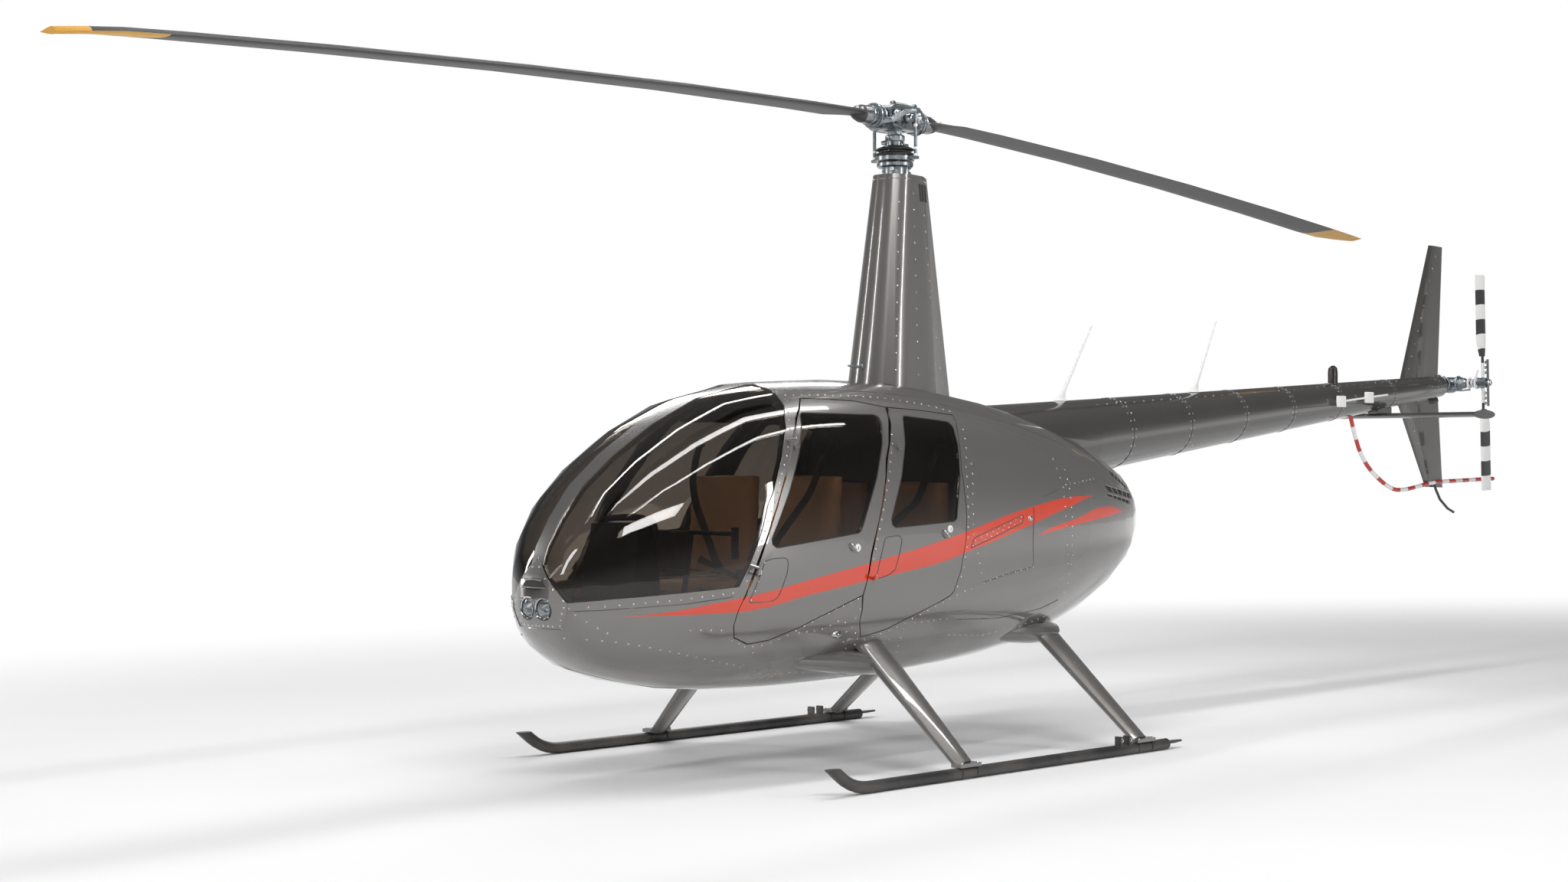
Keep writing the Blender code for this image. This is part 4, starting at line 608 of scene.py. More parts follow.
def grain_group():
    """Fine pebbled grain with soft wear, for leather and moulded parts, with painted shade in the grain's hollows
    and painted highlight on its ridges.
    """
    tree, given, out = group_tree(
        "Pebble grain",
        [("Colour", COLOUR, (0.2, 0.2, 0.2, 1)), ("Scale", FLOAT, 300.0), ("Wear", FLOAT, 0.2),
         ("Roughness", FLOAT, 0.5)],
        [("Colour", COLOUR), ("Roughness", FLOAT), ("Height", FLOAT)])
    place = object_place(tree)
    cells = put(tree, "ShaderNodeTexVoronoi", {"Vector": place, "Scale": given.outputs["Scale"]},
                feature="SMOOTH_F1")
    folds, patches = noise(tree, place, 24.0, 6.0), noise(tree, place, 5.0, 4.0)
    height = sum_of(tree, "ADD", cells.outputs["Distance"], sum_of(tree, "MULTIPLY", folds, 0.6))
    worn = put(tree, "ShaderNodeMapRange", {0: patches, 1: 0.35, 2: 0.72}).outputs[0]
    worn = sum_of(tree, "MULTIPLY", worn, given.outputs["Wear"])
    lighter = mixed(tree, worn, given.outputs["Colour"], (0.62, 0.50, 0.40, 1))
    # Painted shade and highlight: the colour drops to 0.82 in the grain's hollows and rises to 1.06 on its ridges,
    # following the bump's height.
    shade = put(tree, "ShaderNodeMapRange", {0: cells.outputs["Distance"], 1: 0.0, 2: 0.7, 3: 0.82, 4: 1.06})
    grain_with_painted_shade = put(tree, "ShaderNodeVectorMath", {0: lighter, "Scale": shade.outputs[0]}, operation="SCALE")
    tree.links.new(grain_with_painted_shade.outputs[0], out.inputs["Colour"])
    rough = sum_of(tree, "SUBTRACT", given.outputs["Roughness"], sum_of(tree, "MULTIPLY", worn, 0.4), True)
    tree.links.new(rough, out.inputs["Roughness"])
    tree.links.new(height, out.inputs["Height"])
    return tree


def brushed_group():
    """Fine lathe and brush marks and stains of bare metal."""
    tree, given, out = group_tree(
        "Brushed metal",
        [("Colour", COLOUR, (0.5, 0.5, 0.5, 1)), ("Stain", FLOAT, 0.3), ("Roughness", FLOAT, 0.3)],
        [("Colour", COLOUR), ("Roughness", FLOAT), ("Height", FLOAT)])
    drawn = put(tree, "ShaderNodeMapping", {"Vector": object_place(tree), "Scale": (30, 30, 420)}).outputs[0]
    lines, spots = noise(tree, drawn, 1.0, 3.0), noise(tree, object_place(tree), 38.0, 5.0)
    stain = put(tree, "ShaderNodeMapRange", {0: spots, 1: 0.45, 2: 0.75}).outputs[0]
    stain = sum_of(tree, "MULTIPLY", stain, given.outputs["Stain"])
    colour = mixed(tree, stain, given.outputs["Colour"], (0.10, 0.09, 0.08, 1))
    tree.links.new(colour, out.inputs["Colour"])
    rough = sum_of(tree, "ADD", given.outputs["Roughness"],
                   sum_of(tree, "MULTIPLY", sum_of(tree, "SUBTRACT", lines, 0.5), 0.35), True)
    tree.links.new(rough, out.inputs["Roughness"])
    tree.links.new(lines, out.inputs["Height"])
    return tree


def edge_curve(tree, points, along):
    """Height of a stripe's edge at a share of the stripe's length, from a curve node."""
    low_x, high_x, low_z, high_z = STRIPE_BOX
    node = put(tree, "ShaderNodeFloatCurve", {"Factor": 1.0, "Value": along})
    curve = node.mapping.curves[0]
    rows = sorted(((x - low_x) / (high_x - low_x), (z - low_z) / (high_z - low_z)) for x, z in points)
    rows = [(0.0, rows[0][1])] + rows + [(1.0, rows[-1][1])]
    curve.points[0].location, curve.points[1].location = rows[0], rows[-1]
    for row in rows[1:-1]:
        curve.points.new(*row)
    for point in curve.points:
        point.handle_type = "AUTO_CLAMPED"
    node.mapping.update()
    return put(tree, "ShaderNodeMapRange",
               {0: node.outputs[0], 1: 0.0, 2: 1.0, 3: low_z, 4: high_z}).outputs[0]


def stripe_group():
    """The swept stripe with its two fingers, as a mask and a colour."""
    tree, given, out = group_tree(
        "Swept stripe",
        [("Paint", COLOUR, (0.2, 0.2, 0.2, 1)), ("Stripe", COLOUR, (0.8, 0.1, 0.0, 1))],
        [("Colour", COLOUR), ("Mask", FLOAT)])
    place = put(tree, "ShaderNodeSeparateXYZ", {0: object_place(tree)})
    low_x, high_x = STRIPE_BOX[0] + MAST_X, STRIPE_BOX[1] + MAST_X
    along = put(tree, "ShaderNodeMapRange", {0: place.outputs[0], 1: low_x, 2: high_x}).outputs[0]
    masks = []
    for top, foot in ((STRIPE_TOP, STRIPE_FOOT), (FINGER_TOP, FINGER_FOOT)):
        under = sum_of(tree, "LESS_THAN", place.outputs[2], edge_curve(tree, top, along))
        over = sum_of(tree, "GREATER_THAN", place.outputs[2], edge_curve(tree, foot, along))
        masks.append(sum_of(tree, "MULTIPLY", under, over))
    mask = sum_of(tree, "MAXIMUM", *masks)
    colour = mixed(tree, mask, given.outputs["Paint"], given.outputs["Stripe"])
    tree.links.new(colour, out.inputs["Colour"])
    tree.links.new(mask, out.inputs["Mask"])
    return tree


def bands_group():
    """Two colours in turn along a distance."""
    tree, given, out = group_tree(
        "Bands", [("Along", FLOAT, 0.0), ("Pitch", FLOAT, 0.1), ("One", COLOUR, (1, 1, 1, 1)),
                  ("Other", COLOUR, (0, 0, 0, 1))], [("Colour", COLOUR), ("Mask", FLOAT)])
    share = put(tree, "ShaderNodeMath",
                {0: sum_of(tree, "DIVIDE", given.outputs["Along"], given.outputs["Pitch"]),
                 1: 2.0}, operation="FLOORED_MODULO").outputs[0]
    mask = sum_of(tree, "GREATER_THAN", share, 1.0)
    colour = mixed(tree, mask, given.outputs["One"], given.outputs["Other"])
    tree.links.new(colour, out.inputs["Colour"])
    tree.links.new(mask, out.inputs["Mask"])
    return tree


GROUP_MAKERS = {"flow": flow_group, "grain": grain_group, "brushed": brushed_group, "stripe": stripe_group,
                "bands": bands_group}
GROUPS = {}


def group_node(tree, kind, values):
    """Place a shared group in a material."""
    if kind not in GROUPS:
        GROUPS[kind] = GROUP_MAKERS[kind]()
    node = tree.nodes.new("ShaderNodeGroup")
    node.node_tree = GROUPS[kind]
    return wired(tree, node, values)


def opaque(colour):
    return (*colour, 1.0)


def new_material(name, sockets):
    """A material with a Principled shader: (material, tree, shader)."""
    made = bpy.data.materials.new(name)
    made.use_nodes = True
    shader = made.node_tree.nodes["Principled BSDF"]
    for key, value in sockets.items():
        shader.inputs[key].default_value = value
    return made, made.node_tree, shader


def surface(name, sockets, kind=None, values=None, bump=0.0, bump_distance=0.001):
    """A material with a Principled shader; a group drives its colour, roughness and bump."""
    made, tree, shader = new_material(name, sockets)
    if kind:
        node = group_node(tree, kind, values)
        tree.links.new(node.outputs["Colour"], shader.inputs["Base Color"])
        tree.links.new(node.outputs["Roughness"], shader.inputs["Roughness"])
        if bump:
            raised = put(tree, "ShaderNodeBump", {"Strength": bump, "Distance": bump_distance,
                                                  "Height": node.outputs["Height"]})
            tree.links.new(raised.outputs[0], shader.inputs["Normal"])
    return made


def banded(name, along, pitch, one, other, sockets):
    """A painted surface in two colours along a distance, under the shared dust."""
    made, tree, shader = new_material(name, sockets)
    bands = group_node(tree, "bands", {"Along": along(tree), "Pitch": pitch,
                                       "One": opaque(one), "Other": opaque(other)})
    dusty = group_node(tree, "flow", {"Colour": bands.outputs["Colour"], "Dust": 0.15, "Waves": 0.0,
                                      "Roughness": sockets.get("Roughness", 0.4)})
    tree.links.new(dusty.outputs["Colour"], shader.inputs["Base Color"])
    tree.links.new(dusty.outputs["Roughness"], shader.inputs["Roughness"])
    return made


def paint_material(name, colour, colours):
    """Metallic paint under clear coat, with the stripe."""
    made, tree, shader = new_material(name, {"Coat Weight": 1.0, "Coat Roughness": 0.02, "Coat IOR": 1.5})
    stripe = group_node(tree, "stripe", {"Paint": opaque(colour), "Stripe": opaque(colours.stripe)})
    flow = group_node(tree, "flow", {"Colour": stripe.outputs["Colour"], "Dust": 0.10, "Waves": 0.8,
                                     "Roughness": 0.24})
    tree.links.new(flow.outputs["Colour"], shader.inputs["Base Color"])
    tree.links.new(flow.outputs["Roughness"], shader.inputs["Roughness"])
    metallic = put(tree, "ShaderNodeMapRange", {0: stripe.outputs["Mask"], 1: 0.0, 2: 1.0, 3: 0.45, 4: 0.05})
    tree.links.new(metallic.outputs[0], shader.inputs["Metallic"])
    raised = put(tree, "ShaderNodeBump",
                 {"Strength": 0.35, "Distance": 0.004, "Height": flow.outputs["Height"]})
    tree.links.new(raised.outputs[0], shader.inputs["Normal"])
    return made


def reach(tree, centre, axes):
    """Distance from a centre across these axes of the object."""
    gap = put(tree, "ShaderNodeVectorMath", {0: object_place(tree), 1: centre}, operation="SUBTRACT")
    flat = put(tree, "ShaderNodeVectorMath", {0: gap.outputs[0], 1: axes}, operation="MULTIPLY")
    return put(tree, "ShaderNodeVectorMath", {0: flat.outputs[0]}, operation="LENGTH").outputs["Value"]


def tail_band_material(colours):
    """Bands by the distance in from the tail blade's tip, measured from the tail rotor's axis."""
    def inward(tree):
        along = sum_of(tree, "SUBTRACT", TAIL_RADIUS, reach(tree, tuple(TAIL_AXIS), (1, 0, 1)))
        root = sum_of(tree, "GREATER_THAN", along, 0.5)
        return sum_of(tree, "MAXIMUM", along, sum_of(tree, "MULTIPLY", root, 0.55))
    return banded("tail blade bands", inward, BAND_PITCH, colours.white, (0.028, 0.028, 0.030),
                  {"Roughness": 0.42})


def blade_material(name, colours, start):
    """Matt blade paint with warning paint from a distance out to the tip."""
    made, tree, shader = new_material(name, {"Specular IOR Level": 0.35})
    out = reach(tree, tuple(ROTOR_AXIS), (1, 1, 0))
    tip = sum_of(tree, "GREATER_THAN", out, start)
    colour = mixed(tree, tip, opaque(colours.blade), opaque(colours.tip))
    flow = group_node(tree, "flow", {"Colour": colour, "Dust": 0.35, "Waves": 0.0, "Roughness": 0.48})
    tree.links.new(flow.outputs["Colour"], shader.inputs["Base Color"])
    tree.links.new(flow.outputs["Roughness"], shader.inputs["Roughness"])
    return made


def band_attribute(tree):
    return put(tree, "ShaderNodeAttribute", attribute_name="along").outputs["Fac"]


def material_makers(colours):
    """Finish name to the function that makes it."""
    def plain(name, colour, rough, metallic=0.0, kind="grain", bump=0.15, distance=0.0006, **more):
        values = {"Colour": opaque(colour), "Roughness": rough}
        sockets = {"Metallic": metallic}
        sockets.update(more.get("sockets", {}))
        values.update(more.get("values", {}))
        return lambda: surface(name, sockets, kind, values, bump, distance)

    clear = {"Transmission Weight": 1.0, "Roughness": 0.0, "IOR": 1.45}
    return {
        "paint": lambda: paint_material("body paint", colours.paint, colours),
        # Painted shade: the tail's paint is the body paint at 0.48 of its brightness, a darker copy of the one
        # paint.
        "tail_paint": lambda: paint_material("shaded tail paint", [0.48 * c for c in colours.paint], colours),
        "glass": lambda: surface("tinted glass", {**clear, "Base Color": opaque(colours.glass)}),
        "lens": lambda: surface("clear lens", {**clear, "Base Color": (0.95, 0.96, 0.97, 1)}),
        "leather": plain("seat leather", colours.leather, 0.46, bump=0.35,
                         values={"Scale": 420.0, "Wear": 0.25}),
        "webbing": plain("belt webbing", (0.022, 0.022, 0.024), 0.75, bump=0.3, values={"Scale": 900.0}),
        "lining": plain("cabin lining", (0.075, 0.068, 0.062), 0.8, bump=0.25, values={"Scale": 700.0}),
        "trim": plain("black trim", colours.trim, 0.55, values={"Scale": 650.0, "Wear": 0.02}),
        # Black rubber for seals and black parts; the same near-black also fills the cowl and fairing slots, the
        # nose inlet and the hub's ports as painted shade.
        "rubber": plain("black rubber and painted opening shade", (0.012, 0.012, 0.012), 0.62, values={"Scale": 500.0, "Wear": 0.01}),
        # Dark paint for the skids and fittings; the same finish fills the locks' key slots as painted shade.
        "dark": plain("dark paint and painted keyhole shade", (0.022, 0.022, 0.023), 0.36, kind="flow", bump=0.2,
                      values={"Dust": 0.35, "Waves": 0.1}),
        "metal": plain("bare metal", colours.metal, 0.30, 1.0, "brushed", 0.12,
                       values={"Stain": 0.35}),
        "bright": plain("polished metal", (0.52, 0.54, 0.55), 0.16, 1.0, "brushed", 0.05,
                        values={"Stain": 0.10}),
        "cast": plain("cast housing", (0.16, 0.165, 0.17), 0.55, 0.85, "brushed", 0.3,
                      values={"Stain": 0.5}),
        # Painted highlight: rivet heads are far lighter than the body paint they are set in, so each dome shows as
        # a bright dot.
        "rivet": plain("rivet heads with painted highlight", (0.48, 0.47, 0.455), 0.18, kind="flow", bump=0.05,
                       values={"Dust": 0.15, "Waves": 0.0}, sockets={"Metallic": 0.85, "Coat Weight": 1.0}),
        "white": plain("white paint", colours.white, 0.32, kind="flow", bump=0.05,
                       values={"Dust": 0.12, "Waves": 0.0}),
        # Painted shade: dark lines laid along the panel gaps and the tail cone's joints.
        "seam": plain("painted seam shade", (0.050, 0.048, 0.046), 0.30, kind="flow", bump=0.05,
                      values={"Dust": 0.2, "Waves": 0.0}, sockets={"Coat Weight": 0.6}),
        "lamp": plain("beacon lens", (0.030, 0.024, 0.024), 0.10, bump=0.05,
                      values={"Scale": 90.0, "Wear": 0.0}),
        "blade": lambda: blade_material("blade paint", colours, TIP_START),
        "blade_under": lambda: blade_material("blade underside", colours, UNDER_START),
        "tail_bands": lambda: tail_band_material(colours),
        "guard": lambda: banded("guard bands", band_attribute, GUARD_PITCH, colours.guard, colours.white,
                                {"Coat Weight": 0.5, "Roughness": 0.3}),
    }


MATERIALS = {}


def material(name):
    if name not in MATERIALS:
        MATERIALS[name] = material_makers(bpy.context.scene.helicopter_colours)[name]()
    return MATERIALS[name]


# Pieces

def set_body_normals(piece, lining=True):
    """Shade a shell by the body's true surface; its inside takes the second material."""
    mesh = piece.data
    normals = [None] * len(mesh.loops)
    known = {}
    for face in mesh.polygons:
        true = body_normal(face.center)
        facing = true.dot(face.normal)
        if lining and facing < -0.5:
            face.material_index = 1
        for loop in face.loop_indices:
            if abs(facing) > 0.90:
                vert = mesh.loops[loop].vertex_index
                if vert not in known:
                    known[vert] = body_normal(mesh.vertices[vert].co)
                normals[loop] = known[vert] * (1 if facing > 0 else -1)
            else:
                normals[loop] = face.normal.copy()
        face.use_smooth = True
    mesh.normals_split_custom_set(normals)
    return piece


class HELICOPTER_OT_shells(bpy.types.Operator):
    """Painted shells of the cabin body, shaded as one smooth surface"""

    bl_idname = "helicopter.shells"
    bl_label = "Body shells"

    def execute(self, context):
        for node in SHELLS:
            piece = merged_copy(node + "_skin", node)
            finished(piece, NODE_BODY[node], "body_paint", "paint", "lining", replaces=[node])
            set_body_normals(piece)
        return {"FINISHED"}


class HELICOPTER_OT_glass(bpy.types.Operator):
    """Tinted screens and windows"""

    bl_idname = "helicopter.glass"
    bl_label = "Screens and windows"

    def execute(self, context):
        for node in ("windshield_left", "windshield_right", "glass_front_left", "glass_front_right",
                     "glass_rear_left", "glass_rear_right"):
            piece = merged_copy(node + "_pane", node)
            finished(piece, NODE_BODY[node], "tinted_glass", "glass", replaces=[node])
            set_body_normals(piece, lining=False)
        return {"FINISHED"}


class HELICOPTER_OT_airframe(bpy.types.Operator):
    """Tail, fins, landing gear and mast fairing in their finishes"""

    bl_idname = "helicopter.airframe"
    bl_label = "Tail, gear and fairing"

    def execute(self, context):
        painted = ["mast_fairing", "tail_cone", "tail_cone_fairing", "fin_upper", "fin_lower", "stabilizer",
                   "strut_front_left", "strut_front_right", "strut_rear_left", "strut_rear_right"]
        # The tail cone, its fairing, the fins and the stabiliser take the darker copy of the body paint: painted
        # shade.
        looks = {node: ("body_paint", "tail_paint" if node.startswith(("tail", "fin", "stab")) else "paint")
                 for node in painted}
        looks |= {node: ("dark_paint", "dark") for node in ("skid_left", "skid_right")}
        looks |= {node: ("bare_metal", "metal") for node in ("mast_shaft", "rotor_hub", "swash_fixed",
                                                             "swash_turning",
                                                             "mast_tube", "tail_gearbox", "tail_hub")}
        looks |= {node: ("white_plastic", "white") for node in ("antenna_front", "antenna_rear")}
        looks |= {"beacon": ("dark_lens", "lamp")}
        for node, (slot, finish) in looks.items():
            piece = smooth(merged_copy(node + "_skin", node), 32)
            finished(piece, NODE_BODY[node], slot, finish, replaces=[node])
        for node, finish in {"engine": "cast", "firewall": "dark", "cabin_floor": "lining", "console": "trim",
                             "cyclic": "trim", "collective": "trim"}.items():
            NODES[node].data.materials[0] = material(finish)
        return {"FINISHED"}


RIVET_ROWS = {
    "sill": [(2.44, 0.847), (2.286, 0.862), (2.047, 0.878), (1.78, 0.902)],
    "screen post": [(1.265, 1.74), (1.305, 1.68), (1.379, 1.559), (1.456, 1.442), (1.538, 1.296),
                    (1.619, 1.137),
                    (1.70, 0.955)],
    "belly": [(2.413, 0.709), (2.334, 0.702), (2.242, 0.688), (2.12, 0.663), (1.976, 0.629), (1.848, 0.60),
              (1.737, 0.576), (1.589, 0.544)],
    "nose": [(2.422, 0.819), (2.356, 0.763), (2.309, 0.734)],
    "tub front": [(1.967, 0.738), (1.814, 0.731)],
    "tub corner": [(1.572, 0.613), (1.584, 0.492)],
    "front door foot": [(1.733, 0.68), (1.626, 0.638), (1.513, 0.65), (1.411, 0.684), (1.27, 0.742),
                        (1.13, 0.795),
                        (0.985, 0.842)],
    "mid post": [(0.953, 0.84), (0.968, 0.765), (0.984, 0.708), (0.905, 0.640)],
    "mid lower": [(1.331, 0.694), (1.199, 0.70), (1.089, 0.738)],
    "mid foot": [(1.036, 0.728), (0.995, 0.661), (0.999, 0.577), (0.898, 0.61)],
    "rear door foot": [(0.852, 0.637), (0.762, 0.652), (0.651, 0.686), (0.529, 0.733), (0.37, 0.79),
                       (0.26, 0.83)],
    "aft belly": [(0.523, 0.701), (0.287, 0.71)],
    "aft drop": [(0.593, 0.669), (0.566, 0.591), (0.534, 0.552)],
    "aft drop two": [(0.664, 0.623), (0.66, 0.571)],
    "strut": [(0.975, 0.517), (0.783, 0.504)],
    "door post": [(0.615, 1.722), (0.722, 1.50), (0.79, 1.339), (0.842, 1.20), (0.893, 1.03)],
    "rear post": [(0.088, 1.66), (0.119, 1.59), (0.17, 1.45), (0.182, 1.332), (0.193, 1.20), (0.20, 1.09),
                  (0.225, 0.985), (0.262, 0.872)],
    "rear post two": [(0.115, 1.486), (0.148, 1.30), (0.157, 1.138), (0.087, 0.937)],
    "cowl foot": [(0.20, 0.846), (-0.01, 0.90), (-0.168, 0.927), (-0.339, 0.948)],
    "cowl top": [(-0.668, 1.371), (-0.995, 1.399)],
    "cowl split": [(-0.608, 1.507), (-0.62, 1.43), (-0.64, 1.353), (-0.632, 1.18), (-0.65, 1.04),
                   (-0.667, 0.956)],
    "cowl split aft": [(-0.696, 1.45), (-0.70, 1.30), (-0.70, 1.10), (-0.70, 0.96), (-0.70, 0.80)],
    "stripe": [(0.16, 1.075), (-0.041, 1.133), (-0.228, 1.189)],
    "stripe upper": [(0.14, 1.10), (-0.055, 1.157), (-0.235, 1.212)],
    "roof rail": [(1.19, 1.822), (0.984, 1.826), (0.762, 1.824), (0.563, 1.817), (0.30, 1.79), (0.10, 1.755)],
    "front panel": [(1.60, 1.036), (1.631, 0.964), (1.673, 0.864)],
    "tub keel": [(1.50, 0.50), (1.30, 0.49), (1.12, 0.485)],
    "aft keel": [(0.20, 0.62), (-0.10, 0.60), (-0.40, 0.63), (-0.66, 0.68)],
}
SEAMS = {
    "front panel": ([(1.597, 1.042), (1.563, 1.053), (1.477, 1.055), (1.458, 1.041), (1.467, 0.983),
                     (1.513, 0.886),
                     (1.534, 0.858), (1.69, 0.853), (1.678, 0.876), (1.64, 0.95)], True),
    "rear panel": ([(0.813, 1.125), (0.80, 1.135), (0.712, 1.139), (0.691, 1.126), (0.70, 1.08),
                    (0.738, 0.977),
                    (0.787, 0.949), (0.862, 0.935), (0.872, 0.952)], True),
    "cowl door": ([(-0.345, 1.255), (-0.333, 1.078), (-0.339, 0.948), (-0.168, 0.927), (0.06, 0.885)], False),
    "diagonal": ([(-0.444, 1.312), (-0.629, 1.354)], False),
    "cowl top": ([(-0.70, 1.36), (-0.818, 1.375), (-1.04, 1.386)], False),
    "sill": ([(2.439, 0.833), (2.252, 0.847), (1.998, 0.861), (1.78, 0.885)], False),
    "double plate": ([(0.175, 1.062), (-0.041, 1.120), (-0.25, 1.182), (-0.255, 1.222), (-0.06, 1.17),
                      (0.15, 1.112)],
                     True),
    "roof": ([(1.191, 1.845), (0.901, 1.852), (0.549, 1.846), (0.249, 1.82), (0.08, 1.78)], False),
    "aft belly": ([(0.20, 0.70), (-0.15, 0.69), (-0.50, 0.72), (-0.66, 0.76)], False),
}


class HELICOPTER_OT_rivets(bpy.types.Operator):
    """Rows of rivets over the body, its fairing, the tail cone and the fins"""

    bl_idname = "helicopter.rivets"
    bl_label = "Rivets"

    def execute(self, context):
        sizes = context.scene.helicopter_sizes
        # The rivets' finish is much lighter than the body paint: painted highlight.
        studs = Studs("rivets", "rivet", "body_paint", sizes.rivet_radius, sizes.rivet_height)
        for row in RIVET_ROWS.values():
            for side in (1, -1):
                studs.row(side_line(row, sizes.rivet_spacing, side))
        for side in (1, -1):
            for y0, z0, y1, z1 in ((0.025, 1.03, 0.175, 0.88), (0.175, 0.85, 0.14, 0.765),
                                   (0.10, 0.762, 0.01, 0.762)):
                for y, z in ((y0 + (y1 - y0) * k / 3, z0 + (z1 - z0) * k / 3) for k in range(4)):
                    studs.row([front_point(y * side, z)])
            for x, low, high in ((0.20, 1.97, 2.85), (0.02, 1.95, 2.90), (-0.16, 1.93, 2.88),
                                 (-0.27, 1.91, 2.40)):
                for place in spaced([(x, low, 0), (x * 0.55, high, 0)], 0.085):
                    found = node_point("mast_fairing", place[0], place[1], side)
                    if found:
                        studs.row([found])
            for node, lines in (("fin_upper",
                                 [((-5.10, 2.10), (-5.46, 2.88)), ((-5.53, 2.10), (-5.555, 2.88))]),
                                ("fin_lower",
                                 [((-5.06, 1.85), (-5.38, 1.34)), ((-5.52, 1.85), (-5.53, 1.36))])):
                for line in lines:
                    for place in spaced([(*end, 0) for end in line], 0.095):
                        found = node_point(node, place[0], place[1], side)
                        if found:
                            studs.row([found])
        for x in CONE_JOINTS + (-5.40,):
            for turn in around(26):
                for shift in (0.018, -0.018):
                    place, out = cone_point(x + shift, turn)
                    studs.add("airframe", place - out * STUD_SINK, out)
        for turn in (0.55, 2.4, -0.55, -2.4):
            for k in range(44):
                place, out = cone_point(-1.55 - k * 0.09, turn)
                studs.add("airframe", place - out * STUD_SINK, out)
        studs.finish_all()
        return {"FINISHED"}


class HELICOPTER_OT_seams(bpy.types.Operator):
    """Panel seams and the tail cone's joint rings as dark lines, painted shade of the gaps, and the windows'
    rubber seals
    """

    bl_idname = "helicopter.seams"
    bl_label = "Seams and seals"

    def execute(self, context):
        radius = context.scene.helicopter_sizes.bead_radius
        lines = []
        for points, closed in SEAMS.values():
            for side in (1, -1):
                way = points + points[:1] if closed else points
                lines.append((side_line(way, 0.022, side), False))
        beads_by_body("seam", lines, radius, "seam", "body_paint")
        hexagon = [(0, 1.073), (0.19, 0.872), (0.192, 0.835), (0.15, 0.748), (-0.15, 0.748), (-0.192, 0.835),
                   (-0.19, 0.872), (0, 1.073)]
        way = [front_point(p[0], p[1]) for p in spaced([(y, z, 0) for y, z in hexagon], 0.02)]
        finished(bead("nose_panel_edge", way[:-1], radius * 1.2, 0.0, True), "airframe", "body_paint",
                 "paint")
        # The joint rings are dark too: painted shade of the cone's lap joints.
        rings = [sweep("ring", [cone_point(x, turn, -0.0006)[0] for turn in around(48)], 0.0022, 6, True)
                 for x in CONE_JOINTS]
        finished(joined("cone_rings", rings), "airframe", "body_paint", "seam")
        for name in ("front_left", "front_right", "rear_left", "rear_right"):
            self.seal(name)
        return {"FINISHED"}

    def seal(self, name):
        """Rubber round a window, on its door: the loop where the pane meets the door's skin."""
        pane = merged_copy("seal", "glass_" + name)
        take(pane)
        work = bmesh.new()
        work.from_mesh(pane.data)
        outer = [f for f in work.faces if f.normal.dot(body_normal(f.calc_center_median())) > 0.85]
        rim = {}
        for edge in (e for f in outer for e in f.edges):
            if sum(1 for f in edge.link_faces if f in outer) == 1:
                for a, b in ((edge.verts[0], edge.verts[1]), (edge.verts[1], edge.verts[0])):
                    rim.setdefault(a.index, set()).add(b.index)
        work.verts.ensure_lookup_table()
        start = next(iter(rim))
        way, last = [start], None
        while True:
            following = [n for n in rim[way[-1]] if n != last]
            if not following or following[0] == start:
                break
            last = way[-1]
            way.append(following[0])
            if len(way) > len(rim):
                break
        points = [work.verts[i].co.copy() for i in way]
        work.free()
        bpy.data.objects.remove(pane, do_unlink=True)
        points = [p + body_normal(p) * 0.0028 for p in points]
        made = sweep("window_seal_" + name, points, 0.0032, 8, True)
        finished(made, NODE_BODY["door_" + name], "black_trim", "rubber")


